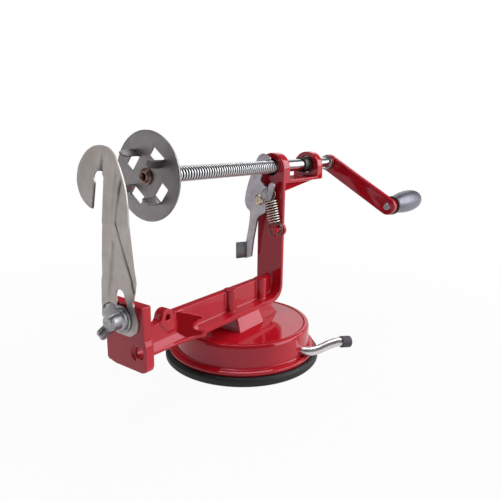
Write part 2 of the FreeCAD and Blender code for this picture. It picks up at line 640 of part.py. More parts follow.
# ---------------------------------------------------------------------------
# Thread latch
# ---------------------------------------------------------------------------
def latch_lever():
    x0 = LATCH_X
    x1 = LATCH_X + LATCH_T
    py = PIVOT_Y
    pz = PIVOT_Z
    sz = SHAFT_Z
    low = pz - 50.0
    outline = [(9.3, sz + 6.1), (7.5, sz + 8.8), (4.6, sz + 10.5), (0.8, sz + 9.8), (-3.0, sz + 7.6),
               (-3.0, sz + 2.0), (4.2, sz - 6.2), (6.1, sz - 10.2), (py - 4.4, pz + 10.5), (py - 7.8, pz + 9.2),
               (py - 7.7, pz + 13.6), (py - 11.0, pz + 14.3), (py - 13.8, pz + 13.3), (py - 13.9, pz + 9.6),
               (py - 11.5, pz + 2.7), (py - 5.2, pz + 1.2), (py - 5.0, pz - 9.2), (py + 0.9, pz - 14.1),
               (py + 1.9, pz - 15.8),
               (py + 5.6, pz - 33.7), (py + 7.4, low + 1.7), (TAB_Y - 0.9, low), (TAB_Y - 0.9, low + TAB_H),
               (py + 9.9, pz - 21.7), (py + 9.0, pz - 13.3), (py + 9.0, pz - 10.0), (py + 12.1, pz - 7.8),
               (py + 14.2, pz - 3.9), (py + 14.3, pz + 0.2), (py + 13.3, pz + 5.2), (py + 11.4, pz + 11.8),
               (py + 8.5, pz + 20.0)]
    plate = plate_x(outline, x0, x1)
    plate = plate.cut(rod_x(0, sz, SCREW_R + 0.4, x0 - 1, x1 + 1))
    plate = plate.cut(box(x0 - 1, x1 + 1, -8, 0, sz - 8, sz))
    plate = plate.cut(rod_x(-2.5, sz + 0.8, SCREW_R + 0.5, x0 - 1, x1 + 1))
    tooth = rod_x(0, sz, SCREW_R + 1.0, x0 + (LATCH_T - LATCH_TOOTH_T) / 2, x1 - (LATCH_T - LATCH_TOOTH_T) / 2)
    tooth = tooth.cut(rod_x(0, sz, LATCH_TOOTH_R, x0, x1))
    wedge = plate_x([(0, sz), (8, sz - 2.9), (8, sz + 2.9)], x0, x1)
    tooth = tooth.common(wedge)
    bend = math.radians(TAB_BEND)
    along = V(-math.sin(bend), math.cos(bend), 0)
    across = V(math.cos(bend), math.sin(bend), 0)
    fold = V(x0, TAB_Y, low)
    outside = fold.add(across * LATCH_T)
    edge = [V(x0, TAB_Y - 2.0, low), fold, fold.add(along * TAB_LONG), outside.add(along * TAB_LONG), outside,
            V(x1, TAB_Y + 0.6, low), V(x1, TAB_Y - 2.0, low)]
    tab = Part.Face(Part.makePolygon(edge + edge[:1])).extrude(V(0, 0, TAB_H))
    body = join(plate, tooth, tab)
    body = body.cut(rod_x(py, pz, PIVOT_R + RUN, x0 - 1, x1 + 1))
    body = body.cut(rod_x(HOOK_Y, HOOK_Z, HOOK_R, x0 - 1, x1 + 1))
    save("latch_lever", body.removeSplitter())


def latch_pivot_screw():
    x = LATCH_X - 0.1
    r = PIVOT_HEAD_R
    head = turned_x([(x - 1.8, 0), (x - 1.6, r - 1.3), (x - 0.8, r - 0.3), (x, r), (x, 0)], PIVOT_Y, PIVOT_Z)
    body = join(head, rod_x(PIVOT_Y, PIVOT_Z, PIVOT_R, x - 0.5, POST_X + POST_T))
    body = body.cut(box(x - 2, x - 1.0, PIVOT_Y - 0.4, PIVOT_Y + 0.4, PIVOT_Z - 1.8, PIVOT_Z + 1.8))
    body = body.cut(box(x - 2, x - 1.0, PIVOT_Y - 1.8, PIVOT_Y + 1.8, PIVOT_Z - 0.4, PIVOT_Z + 0.4))
    save("latch_pivot_screw", body)


def latch_spring():
    w = SPRING_WIRE / 2
    x = LATCH_X + LATCH_T / 2
    top_r = SPRING_LOOP_R
    inside = top_r - w
    sag = inside - math.sqrt(inside ** 2 - (LATCH_T / 2) ** 2)
    top_z = HOOK_Z - HOOK_R + w - top_r + sag + SEAT
    top = Part.makeTorus(top_r, w, V(x, HOOK_Y, top_z), V(0, 1, 0))
    low_r = PEG_R + w + 0.45
    low_z = PEG_Z - PEG_R + low_r - w
    low = Part.makeTorus(low_r, w, V(x, PEG_Y, low_z), V(1, 0, 0))
    a = V(x, HOOK_Y, top_z - top_r)
    b = V(x, PEG_Y, low_z + low_r)
    axis = b.sub(a)
    length = axis.Length
    axis.normalize()
    coil_length = length - SPRING_LEG_TOP - SPRING_LEG_LOW
    pitch = coil_length / SPRING_COILS
    sweep = Part.BRepOffsetAPI.MakePipeShell(Part.Wire(Part.makeHelix(pitch, coil_length, SPRING_R)))
    sweep.setFrenetMode(True)
    sweep.add(Part.Wire(Part.makeCircle(w, V(SPRING_R, 0, 0), V(0, 1, 0))))
    sweep.build()
    sweep.makeSolid()
    coil = sweep.shape()
    start = a.add(V(axis.x * SPRING_LEG_TOP, axis.y * SPRING_LEG_TOP, axis.z * SPRING_LEG_TOP))
    finish = start.add(V(axis.x * coil_length, axis.y * coil_length, axis.z * coil_length))
    along = FreeCAD.Rotation(V(0, 0, 1), axis)
    coil.Placement = FreeCAD.Placement(start, along).multiply(coil.Placement)
    out = along.multVec(V(SPRING_R, 0, 0))
    ends = []
    for point, centre in ((a, start), (b, finish)):
        rim = centre.add(out)
        leg = rim.sub(point)
        ends.append(Part.makeCylinder(w, leg.Length, point, leg))
        ends.append(Part.makeSphere(w, rim))
    save("latch_spring", top.fuse([low, coil] + ends))


# ---------------------------------------------------------------------------
# Slicing blade and its clamp
# ---------------------------------------------------------------------------
def slicing_blade():
    front = PLATE_X0 - SEAT - BLADE_T
    t = BLADE_T
    z = SHAFT_Z
    x0 = HEAD_X - 12.0
    x1 = PLATE_X0 + 1.0
    low = BOLT_Z - 8.6
    seam = z + 15.0

    # outline seen from the front: up the long side, over the round head, down
    # the hooked lobe, up and down the open slot, back to the foot
    head = [(-21.6, HEAD_LOW_Z), (-21.4, z - 11.6), (-20.1, z - 2.4), (-17.2, z + 5.7), (-14.0, z + 12.0),
            (-10.0, z + 16.3), (-5.1, z + 18.0), (0.0, z + 18.3), (5.2, z + 17.2), (11.2, z + 14.0),
            (16.6, z + 7.8), (18.7, z + 1.1), (18.2, z - 4.0), (16.1, z - 8.7), (12.8, z - 12.2),
            (8.5, z - 14.7), (5.5, z - 15.6)]
    curve = Part.BSplineCurve()
    curve.interpolate([V(x0, y, h) for y, h in head])
    rest = [head[-1], (4.4, z - 14.4), (2.2, z - 1.5), (-2.0, z - 1.5), (-1.2, z - 10.6), (0.8, HEAD_LOW_Z - 1.0),
            (11.5, FOOT_TOP_Z + 13.8), (BOLT_Y + 18.4, FOOT_TOP_Z), (BOLT_Y + 19.4, BOLT_Z + 9.0),
            (BOLT_Y + 18.4, BOLT_Z + 2.5), (BOLT_Y + 15.2, BOLT_Z - 3.5), (BOLT_Y + 10.5, BOLT_Z - 7.2),
            (BOLT_Y + 4.0, low), (BOLT_Y - 6.0, low), (BOLT_Y - 10.2, BOLT_Z - 7.0),
            (BOLT_Y - 13.0, BOLT_Z - 3.6), (BOLT_Y - 13.5, BOLT_Z + 0.6), (BOLT_Y - 9.8, BOLT_Z + 14.0),
            (BOLT_Y - 11.4, FOOT_TOP_Z - 3.0),
            (-14.6, FOOT_TOP_Z + 13.0), (-18.5, HEAD_LOW_Z - 11.0), head[0]]
    edges = [curve.toShape()]
    for (y0, h0), (y1, h1) in zip(rest, rest[1:]):
        edges.append(Part.makeLine(V(x0, y0, h0), V(x0, y1, h1)))
    prism = Part.Face(Part.Wire(edges)).extrude(V(x1 - x0, 0, 0))
    prism = prism.cut(rod_x(0, z + 1.2, KEYHOLE_R, x0 - 1, x1 + 1))
    prism = prism.cut(plate_x([(-2.9, z + 3.0), (-2.3, z + 3.0), (-2.5, seam), (-2.7, seam)], x0 - 1, x1 + 1))
    slot = join(box(x0 - 1, x1 + 1, SLOT_Y - SLOT_HALF, SLOT_Y + SLOT_HALF, BOLT_Z - 2.0, BOLT_Z + 15.3),
                rod_x(SLOT_Y, BOLT_Z - 2.0, SLOT_HALF, x0 - 1, x1 + 1),
                rod_x(SLOT_Y, BOLT_Z + 15.3, SLOT_HALF, x0 - 1, x1 + 1))
    prism = prism.cut(slot)

    # the sheet steps forward above the foot, and the lobe leans a little more
    top = z + 30.0
    under = low - 20.0
    half = BLANK_HALF
    main = plate_y([(front, under), (front, FOOT_TOP_Z), (HEAD_X, HEAD_LOW_Z), (HEAD_X, top), (HEAD_X + t, top),
                    (HEAD_X + t, HEAD_LOW_Z), (front + t, FOOT_TOP_Z), (front + t, under)], -half, half)
    drop = z + 15.0 - HEAD_LOW_Z + 2.0
    lean = drop * math.tan(math.radians(LOBE_TILT))
    side = plate_y([(HEAD_X, seam), (HEAD_X + t, seam), (HEAD_X + t - lean, seam - drop),
                    (HEAD_X - lean, seam - drop)], -half, half)
    zone = plate_x([(-2.6, seam), (-2.6, z + 5.0), (0.0, z - 1.0), (1.5, z - 10.0), (2.6, z - 17.0), (2.6, z - 24.0),
                    (half, z - 24.0), (half, seam)], x0 - 1, x1 + 1)
    body = prism.common(main).cut(zone).fuse(prism.common(side).common(zone))
    save("slicing_blade", body.removeSplitter())


def clamp_bolt():
    back = PLATE_X0 + PLATE_T
    square = box(back - 2.2, back, BOLT_Y - BOLT_R, BOLT_Y + BOLT_R, BOLT_Z - BOLT_R, BOLT_Z + BOLT_R)
    dome = turned_x([(back, 0), (back, 6.6), (back + 1.0, 6.2), (back + 2.6, 3.4), (back + 3.1, 0)], BOLT_Y, BOLT_Z)
    shank = rod_x(BOLT_Y, BOLT_Z, BOLT_R, PLATE_X0 - BLADE_T - WASHER_T - WING_HUB_T + WING_DOME + GAP, back)
    save("clamp_bolt", join(square, dome, shank))


def clamp_washer():
    x1 = PLATE_X0 - BLADE_T - 2 * SEAT
    body = turned_x([(x1 - WASHER_T, BOLT_R + RUN), (x1, BOLT_R + RUN), (x1, WASHER_R),
                     (x1 - WASHER_T, WASHER_R - 0.3)], BOLT_Y, BOLT_Z)
    save("clamp_washer", body)


def wing_nut():
    x1 = PLATE_X0 - BLADE_T - WASHER_T - 3 * SEAT
    x0 = x1 - WING_HUB_T
    hub = turned_x([(x0 + WING_DOME, 0), (x0 + WING_DOME, BOLT_R + RUN), (x1, BOLT_R + RUN), (x1, WING_R),
                    (x0, WING_R - 1.4), (x0 - 0.6 * WING_DOME, WING_R - 3.0), (x0 - WING_DOME, 0)],
                   BOLT_Y, BOLT_Z)
    wings = []
    for side in (-1, 1):
        points = [V(x1 - 1.5, BOLT_Y, BOLT_Z + side * (WING_R - 1.5)),
                  V(x0 + 0.5, BOLT_Y, BOLT_Z + side * (WING_R - 2.2)),
                  V(x0 - 5.0, BOLT_Y, BOLT_Z + side * (WING_R + 1.4)),
                  V(x0 - 5.6, BOLT_Y, BOLT_Z + side * (WING_R + 5.6)),
                  V(x0 - 2.4, BOLT_Y, BOLT_Z + side * (WING_R + 8.0)),
                  V(x0 + 2.0, BOLT_Y, BOLT_Z + side * (WING_R + 3.2))]
        face = Part.Face(Part.makePolygon(points + points[:1]))
        face.translate(V(0, -1.0, 0))
        wings.append(face.extrude(V(0, 2.0, 0)))
    save("wing_nut", join(hub, *wings))


frame_casting()
base_housing()
frame_screws()
suction_cup()
suction_stem()
suction_lever()
lever_clip()
lever_cap()
feed_screw()
fork_disc()
fork_hub()
rear_bush()
thrust_washer()
crank_arm()
crank_screw()
handle_pin()
handle_ferrule()
knob()
latch_lever()
latch_pivot_screw()
latch_spring()
slicing_blade()
clamp_bolt()
clamp_washer()
wing_nut()
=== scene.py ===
import math

import bmesh
import bpy
from mathutils import Matrix, Vector, geometry


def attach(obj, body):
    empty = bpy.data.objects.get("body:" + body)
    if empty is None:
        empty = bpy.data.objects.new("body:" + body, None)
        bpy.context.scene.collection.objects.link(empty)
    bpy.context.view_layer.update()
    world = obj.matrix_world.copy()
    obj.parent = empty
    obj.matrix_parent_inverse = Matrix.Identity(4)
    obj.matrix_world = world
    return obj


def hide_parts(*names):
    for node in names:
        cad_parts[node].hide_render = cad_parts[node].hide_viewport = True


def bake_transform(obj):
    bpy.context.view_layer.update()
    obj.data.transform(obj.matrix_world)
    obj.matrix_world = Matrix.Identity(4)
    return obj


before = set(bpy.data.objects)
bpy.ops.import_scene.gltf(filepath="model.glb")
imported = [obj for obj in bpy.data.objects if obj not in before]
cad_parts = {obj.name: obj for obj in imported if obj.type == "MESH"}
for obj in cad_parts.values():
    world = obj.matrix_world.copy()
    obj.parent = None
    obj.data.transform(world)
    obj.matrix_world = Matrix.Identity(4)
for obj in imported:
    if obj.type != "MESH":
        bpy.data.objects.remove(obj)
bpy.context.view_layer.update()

bl_info = {
    "name": "Tornado potato cutter",
    "version": (1, 0, 0),
    "blender": (4, 5, 0),
    "location": "View3D > Sidebar > Cutter",
    "description": "Builds the visible skin of a hand cranked spiral potato cutter around its fixed frame",
    "category": "Add Mesh",
}

MM = 0.001

# Where the pieces meet, in millimetres in the frame's own axes
SHAFT = (0.0, 144.0)            # y and z of the feed screw's axis
SCREW_FRONT = -93.0             # front end of the screw, behind the fork disc
SCREW_R = 5.0                   # the screw's outer radius, on the thread and on the plain shaft
PITCH = 2.5                     # the thread's lead for one turn
THREAD_FIRST = -86.375          # middle of the thread's first crest
THREAD_TURNS = 53
CRANK_FACE = 129.0              # where the crank's boss begins
PLATE_FACE = -115.5             # front face of the casting's end plate
PLATE_T = 6.5
SIDE_HOLE = (-10.2, 42.7)       # y and z of the through hole low on the end plate
DISC_T = 1.2
DISC_R = 26.7
WINDOWS = 4
WINDOW_TURN = 38.5              # degrees from +Y to the first window and prong
LATCH_FACE = 30.0               # front face of the latch plate
LATCH_T = 2.0
PIVOT = (6.5, 118.0)            # y and z of the latch's pivot
HOOK = (-2.2, 123.0)            # y and z of the notch that holds the spring's eye
TAB_FOLD = 20.4                 # y at which the thumb tab is bent forward
TAB_BEND = 65.0                 # degrees that the tab is bent by
TAB_LOW = 68.0
TAB_TALL = 13.5
PEG = (-9.2, 94.5)              # y and z of the peg that holds the spring
BOLT = (-0.8, 60.5)             # y and z of the blade's clamp bolt
BLADE_T = 0.95
HEAD_FACE = -127.6              # front side of the blade round the keyhole
LEVER = (4.0, 13.9)             # x and z of the suction lever's bar
LEVER_R = 3.3


# ---------------------------------------------------------------------------
# Settings that a user would change
# ---------------------------------------------------------------------------
def linear(code):
    """Linear colour of an sRGB hex value."""
    out = []
    for i in (1, 3, 5):
        c = int(code[i:i + 2], 16) / 255
        out.append(c / 12.92 if c <= 0.04045 else ((c + 0.055) / 1.055) ** 2.4)
    return (*out, 1.0)


def colour(name, text, code):
    """A colour that a user can set, from its sRGB hex value."""
    return bpy.props.FloatVectorProperty(name=name, description=text, subtype="COLOR", size=4, min=0, max=1,
                                         default=linear(code))


def length(name, text, mm):
    """A length that a user can set, from its size in millimetres."""
    return bpy.props.FloatProperty(name=name, description=text, unit="LENGTH", precision=4, min=0, default=mm * MM)


class CutterColours(bpy.types.PropertyGroup):
    enamel: colour("Enamel", "Stoved enamel of the castings and the crank arm", "#BC1726")
    enamel_deep: colour("Enamel, thick", "Where the enamel ran thicker before stoving", "#AE1422")
    blade: colour("Blade steel", "Cold rolled sheet of the blade", "#BBB3B0")
    blade_dark: colour("Blade steel, stained", "Rolling marks and handling stains on the sheet", "#A8A09C")
    disc: colour("Disc steel", "Cold rolled and pickled sheet of the fork disc", "#9A9596")
    chrome: colour("Chrome", "Plated feed screw and suction lever", "#D9DADC")
    zinc: colour("Zinc", "Zinc plated clamp and hardware", "#B4B4B6")
    latch: colour("Latch steel", "Tumbled and plated latch plate", "#B4AEB4")
    brass: colour("Brass", "Browned brass of the fork's hub", "#9A8278")
    pivot: colour("Pivot brass", "Passivated head of the latch's pivot screw", "#DACDBA")
    rubber: colour("Rubber", "Moulded rubber of the foot", "#08080B")
    nylon: colour("Nylon", "Black moulded bush and ferrule", "#1B1A1C")
    knob: colour("Knob", "Polished grip", "#7E818B")
    floor: colour("Floor", "Pale studio floor", "#D2D2D2")


class CutterSizes(bpy.types.PropertyGroup):
    cast_grain: length("Casting skin", "Cell of the skin that fuses and rounds the casting", 0.5)
    arm_edge: length("Crank edge", "Edge rounding of the crank arm", 1.4)
    sheet_grid: length("Sheet grid", "Point spacing on the pressed sheet pieces", 1.2)
    coil_radius: length("Spring radius", "Mean radius of the latch spring", 4.6)
    wire: length("Spring wire", "Diameter of the latch spring's wire", 1.0)


def settings():
    """The colours and the sizes that the panel shows."""
    return bpy.context.scene.cutter_colours, bpy.context.scene.cutter_sizes


# ---------------------------------------------------------------------------
# Materials
# ---------------------------------------------------------------------------
def add(tree, kind, links=None, **options):
    """Adds a node. links gives each input, by name or number, a value or another node's output."""
    node = tree.nodes.new(kind)
    for key, value in options.items():
        setattr(node, key, value)
    for key, value in (links or {}).items():
        socket = node.inputs[key]
        if isinstance(value, bpy.types.NodeSocket):
            tree.links.new(value, socket)
        else:
            socket.default_value = value
    return node


def begin(name):
    """A material and its empty tree, or the finished material and None where it was made before."""
    material = bpy.data.materials.get(name)
    if material:
        return material, None
    material = bpy.data.materials.new(name)
    material.use_nodes = True
    material.node_tree.nodes.clear()
    return material, material.node_tree


def spots(tree, size, detail=3.0, stretch=(1, 1, 1), rough=0.5):
    """Noise whose marks are about size millimetres across, stretched along an axis by a small number."""
    where = add(tree, "ShaderNodeTexCoord").outputs["Object"]
    scaled = add(tree, "ShaderNodeMapping", {"Vector": where, "Scale": stretch}).outputs["Vector"]
    return add(tree, "ShaderNodeTexNoise", {"Vector": scaled, "Scale": 1 / (size * MM), "Detail": detail,
                                            "Roughness": rough}).outputs["Fac"]


def spread(tree, value, low, high, out_low=0.0, out_high=1.0):
    """Stretches low to high onto another span, and holds it there."""
    return add(tree, "ShaderNodeMapRange", {"Value": value, "From Min": low, "From Max": high,
                                            "To Min": out_low, "To Max": out_high}).outputs["Result"]


def blend_colours(tree, factor, first, second):
    """The first colour where factor is 0 and the second where it is 1."""
    node = add(tree, "ShaderNodeMix", {0: factor}, data_type="RGBA")
    for socket, value in ((node.inputs[6], first), (node.inputs[7], second)):
        if isinstance(value, bpy.types.NodeSocket):
            tree.links.new(value, socket)
        else:
            socket.default_value = value
    return node.outputs[2]


def bump(tree, height, depth, strength):
    """Raises the surface by depth millimetres where height is 1."""
    return add(tree, "ShaderNodeBump", {"Height": height, "Distance": depth * MM,
                                        "Strength": strength}).outputs["Normal"]


def surface(tree, **links):
    """Ends the tree in one shader, with its inputs named by their words joined by underscores."""
    named = {key.replace("_", " "): value for key, value in links.items()}
    shader = add(tree, "ShaderNodeBsdfPrincipled", named)
    add(tree, "ShaderNodeOutputMaterial", {"Surface": shader.outputs["BSDF"]})


def from_axis(tree):
    """Distance from the feed screw's axis."""
    where = add(tree, "ShaderNodeTexCoord").outputs["Object"]
    off = add(tree, "ShaderNodeVectorMath", {0: where, 1: (0, SHAFT[0] * MM, SHAFT[1] * MM)}, operation="SUBTRACT")
    flat = add(tree, "ShaderNodeVectorMath", {0: off.outputs["Vector"], 1: (0, 1, 1)}, operation="MULTIPLY")
    return add(tree, "ShaderNodeVectorMath", {0: flat.outputs["Vector"]}, operation="LENGTH").outputs["Value"]


def stoved_enamel():
    """Sprayed and stoved enamel on a die casting: wet gloss, faint orange peel, clouds where it ran thicker, painted
    shade round the screw in the lugs' bores, and painted shade with weaker reflections on the near gusset's outer face.
    """
    material, tree = begin("stoved enamel")
    if tree is None:
        return material
    colours, _ = settings()
    cloud = spread(tree, spots(tree, 26.0, 2.0), 0.35, 0.7)
    base = blend_colours(tree, cloud, tuple(colours.enamel), tuple(colours.enamel_deep))
    peel = spots(tree, 2.6, 1.0)            # orange peel, drawn a little coarse so that it shows
    gloss = spread(tree, spots(tree, 9.0, 3.0), 0.3, 0.75, 0.07, 0.11)
    oil = spread(tree, from_axis(tree), 6.4 * MM, 7.8 * MM, 0.85, 0.0)      # painted shade round the screw in the lugs' bores
    base = blend_colours(tree, oil, base, linear("#2A0A12"))
    # painted shade and weaker reflections on the near gusset's outer face, where its attribute is 1
    sheltered = add(tree, "ShaderNodeAttribute", attribute_name="sheltered").outputs["Fac"]
    base = blend_colours(tree, sheltered, base, linear("#9A0A14"))
    shine = spread(tree, sheltered, 0.0, 1.0, 0.5, 0.05)
    surface(tree, Specular_IOR_Level=shine, Base_Color=base, Roughness=gloss, IOR=1.5,
            Specular_Tint=(1.0, 0.86, 1.0, 1.0), Normal=bump(tree, peel, 0.02, 0.4))
    return material


def rolled_steel(name, base, other):
    """Cold rolled sheet, degreased and bare: soft grain along the strip, grey stains, and painted shade where the
    pressed attribute is high: the blade's pressed lines, its sheared edge and the prongs.
    """
    material, tree = begin(name)
    if tree is None:
        return material
    grain = spots(tree, 0.5, 4.0, (1, 1, 0.05))
    stain = spread(tree, spots(tree, 12.0, 5.0, rough=0.62), 0.35, 0.72)
    base = blend_colours(tree, stain, base, other)
    pressed = add(tree, "ShaderNodeAttribute", attribute_name="pressed").outputs["Fac"]
    # painted shade: darker where the pressed attribute is high
    base = blend_colours(tree, pressed, base, linear("#26242A"))
    gloss = spread(tree, grain, 0.3, 0.7, 0.36, 0.52)
    surface(tree, Base_Color=base, Roughness=gloss, Metallic=0.92, Normal=bump(tree, grain, 0.03, 0.6))
    return material


def blade_steel():
    """The blade's sheet: warm grey."""
    colours, _ = settings()
    return rolled_steel("rolled steel sheet", tuple(colours.blade), tuple(colours.blade_dark))


def disc_steel():
    """The fork disc's sheet: darker and cooler than the blade's."""
    return rolled_steel("pickled steel sheet", tuple(settings()[0].disc), linear("#8A8687"))


def chrome_plate():
    """Bright nickel chrome plate over machined steel: near mirror, with faint turning marks."""
    material, tree = begin("chrome plated steel")
    if tree is None:
        return material
    colours, _ = settings()
    marks = spots(tree, 0.6, 3.0, (1, 0.2, 0.2))
    gloss = spread(tree, marks, 0.3, 0.7, 0.12, 0.24)
    haze = blend_colours(tree, spread(tree, spots(tree, 7.0, 4.0), 0.4, 0.8), tuple(colours.chrome),
                         linear("#B9BABE"))
    surface(tree, Base_Color=haze, Roughness=gloss, Metallic=1.0, Normal=bump(tree, marks, 0.01, 0.5))
    return material


def buffed_nickel():
    """Nickel plated bar, buffed by hand after bending: its reflections are soft bands along the bar."""
    return metal("buffed nickel plate", linear("#E4DEDF"), linear("#CFC9CC"), 0.3, 0.4, 6.0, 0.01)


def rolled_thread():
    """The chrome of the thread: bright on the crests, with painted shade in the roots, by the distance from the axis.
    """
    material, tree = begin("chrome plated thread")
    if tree is None:
        return material
    colours, _ = settings()
    high = spread(tree, from_axis(tree), 4.4 * MM, 4.85 * MM)
    # painted shade: dark in the roots, bright on the crests
    tone = blend_colours(tree, high, linear("#17171A"), tuple(colours.chrome))
    surface(tree, Base_Color=tone, Roughness=spread(tree, high, 0.0, 1.0, 0.4, 0.3), Metallic=1.0)
    return material


def metal(name, base, other, low, high, size, depth):
    """Plated or tumbled metal with clouds of another tone and a fine uneven skin."""
    material, tree = begin(name)
    if tree is None:
        return material
    cloud = spread(tree, spots(tree, size, 5.0, rough=0.6), 0.38, 0.7)
    fine = spots(tree, size * 0.12, 3.0)
    surface(tree, Base_Color=blend_colours(tree, cloud, base, other), Metallic=1.0,
            Roughness=spread(tree, fine, 0.3, 0.7, low, high), Normal=bump(tree, fine, depth, 0.6))
    return material


def zinc_plate():
    """Barrel plated zinc: satin, cloudy, slightly blue."""
    return metal("zinc plated steel", tuple(settings()[0].zinc), linear("#8A888E"), 0.32, 0.5, 5.0, 0.03)


def tumbled_steel():
    """Stamped steel, tumbled and thinly plated: even satin grey."""
    return metal("tumbled steel", tuple(settings()[0].latch), linear("#989299"), 0.34, 0.5, 9.0, 0.02)


def folded_steel():
    """The latch's bent tab: the same steel in a darker copy with painted shade, because the tab faces away from the
    lights, and a little rougher.
    """
    return metal("handled steel", linear("#7E7C80"), linear("#666468"), 0.36, 0.5, 9.0, 0.02)


def browned_brass():
    """Turned brass that has gone brown in the wash."""
    return metal("browned brass", tuple(settings()[0].brass), linear("#664A40"), 0.3, 0.46, 3.0, 0.02)


def passivated_brass():
    """Yellow passivated screw head: pale, a little dull."""
    return metal("passivated brass", tuple(settings()[0].pivot), linear("#B5A48E"), 0.3, 0.45, 2.5, 0.02)


def spring_wire():
    """Drawn spring wire, bright outside, with painted shade inside the coils and on the eyes."""
    material, tree = begin("greased spring wire")
    if tree is None:
        return material
    inner = add(tree, "ShaderNodeAttribute", attribute_name="inner").outputs["Fac"]
    # painted shade where the inner attribute is high
    tone = blend_colours(tree, inner, linear("#DDD6CC"), linear("#1E1412"))
    surface(tree, Base_Color=tone, Metallic=1.0, Roughness=spread(tree, spots(tree, 1.5, 3.0), 0.3, 0.7, 0.18, 0.3))
    return material


def moulded(name, base, other, low, high, grain, depth):
    """Moulded rubber or plastic, with a faint bloom and the tool's grain."""
    material, tree = begin(name)
    if tree is None:
        return material
    bloom = spread(tree, spots(tree, 14.0, 4.0), 0.4, 0.75)
    fine = spots(tree, grain, 2.0)
    surface(tree, Base_Color=blend_colours(tree, bloom, base, other), IOR=1.5,
            Roughness=spread(tree, fine, 0.3, 0.7, low, high), Normal=bump(tree, fine, depth, 0.5))
    return material


def moulded_rubber():
    """Compression moulded black rubber: soft sheen, light dust."""
    return moulded("moulded rubber", tuple(settings()[0].rubber), linear("#0E0E12"), 0.5, 0.66, 1.0, 0.04)


def dusty_rubber():
    """The lever's cap: the same rubber, greyed by handling and dust."""
    return moulded("handled rubber", linear("#3C3B41"), linear("#4A494F"), 0.5, 0.66, 1.0, 0.04)


def black_nylon():
    """Injection moulded black nylon: satin."""
    return moulded("black nylon", tuple(settings()[0].nylon), linear("#262528"), 0.3, 0.42, 0.8, 0.02)


def polished_knob():
    """Turned and polished aluminium grip: soft mirror with fine polishing lines round it."""
    material, tree = begin("polished aluminium")
    if tree is None:
        return material
    colours, _ = settings()
    lines = spots(tree, 0.8, 3.0, (1, 0.15, 0.15))
    tone = blend_colours(tree, spread(tree, spots(tree, 16.0, 3.0), 0.35, 0.7), tuple(colours.knob),
                         linear("#6C6F79"))
    surface(tree, Base_Color=tone, Metallic=0.9, Roughness=spread(tree, lines, 0.3, 0.7, 0.34, 0.44),
            Normal=bump(tree, lines, 0.008, 0.5))
    return material


# ---------------------------------------------------------------------------
# Shapes, all in millimetres
# ---------------------------------------------------------------------------
def rounded(corners, radius=1.0, steps=4, closed=True):
    """A line with its corners rounded, by radius or by the third number that a corner has."""
    out = []
    last = len(corners) - 1
    for i, corner in enumerate(corners):
        p = Vector(corner[:2])
        if not closed and i in (0, last):
            out.append(tuple(p))
            continue
        r = corner[2] if len(corner) > 2 else radius
        to_a = Vector(corners[i - 1][:2]) - p
        to_b = Vector(corners[(i + 1) % (last + 1)][:2]) - p
        angle = to_a.angle(to_b)
        if r <= 0 or angle > math.pi - 0.05:
            out.append(tuple(p))
            continue
        cut = min(r / math.tan(angle / 2), 0.45 * to_a.length, 0.45 * to_b.length)
        start = p + to_a.normalized() * cut
        end = p + to_b.normalized() * cut
        for k in range(steps + 1):
            t = k / steps
            out.append(tuple(start * (1 - t) ** 2 + p * (2 * t * (1 - t)) + end * t * t))
    return out


def through(points, per=8):
    """A smooth open line through points of any dimension."""
    pts = [Vector(p) for p in points]
    out = []
    for i in range(len(pts) - 1):
        b, c = pts[i], pts[i + 1]
        a = pts[i - 1] if i else b * 2 - c
        d = pts[i + 2] if i + 2 < len(pts) else c * 2 - b
        for k in range(per):
            t = k / per
            out.append(0.5 * ((2 * b) + (c - a) * t + (2 * a - 5 * b + 4 * c - d) * t ** 2
                              + (3 * b - a - 3 * c + d) * t ** 3))
    return [tuple(p) for p in out + [pts[-1]]]


def turned(profile, axis="X", at=(0.0, 0.0), steps=96):
    """Points and faces of an (along, radius) line turned about X or Z; at is the axis's place across it."""
    points = []
    faces = []
    count = len(profile)
    for i in range(steps):
        a = 2 * math.pi * i / steps
        for along, radius in profile:
            u, v = at[0] + radius * math.cos(a), at[1] + radius * math.sin(a)
            points.append((along, u, v) if axis == "X" else (u, v, along))
    for i in range(steps):
        j = (i + 1) % steps
        for k in range(count - 1):
            faces.append((i * count + k, i * count + k + 1, j * count + k + 1, j * count + k))
    return points, faces


def prism(outline, start, end, axis="X"):
    """Points and faces of a flat outline drawn out along an axis, with its points in the other two."""
    n = len(outline)
    points = []
    for along in (start, end):
        points += [{"X": (along, u, v), "Y": (u, along, v), "Z": (u, v, along)}[axis] for u, v in outline]
    faces = [tuple(range(n)), tuple(range(2 * n - 1, n - 1, -1))]
    faces += [(i, (i + 1) % n, n + (i + 1) % n, n + i) for i in range(n)]
    return points, faces


def tube(path, radius, steps):
    """Points and faces of a round bar along a path."""
    pts = [Vector(p) for p in path]
    points = []
    faces = []
    side = None
    for i, p in enumerate(pts):
        along = (pts[min(i + 1, len(pts) - 1)] - pts[max(i - 1, 0)]).normalized()
        if side is None:
            side = along.orthogonal().normalized()
        side = (side - along * side.dot(along)).normalized()
        up = along.cross(side)
        for k in range(steps):
            a = 2 * math.pi * k / steps
            points.append(tuple(p + (side * math.cos(a) + up * math.sin(a)) * radius))
    for i in range(len(pts) - 1):
        for k in range(steps):
            j = (k + 1) % steps
            faces.append((i * steps + k, i * steps + j, (i + 1) * steps + j, (i + 1) * steps + k))
    faces.append(tuple(range(steps))[::-1])
    faces.append(tuple(range((len(pts) - 1) * steps, len(pts) * steps)))
    return points, faces


def together(*parts):
    """Joins several (points, faces) into one."""
    points = []
    faces = []
    for more, loops in parts:
        base = len(points)
        points += list(more)
        faces += [tuple(base + i for i in loop) for loop in loops]
    return points, faces


def turned_about(part, matrix):
    """The same part with a matrix applied."""
    points, faces = part
    return [tuple(matrix @ Vector(p)) for p in points], faces


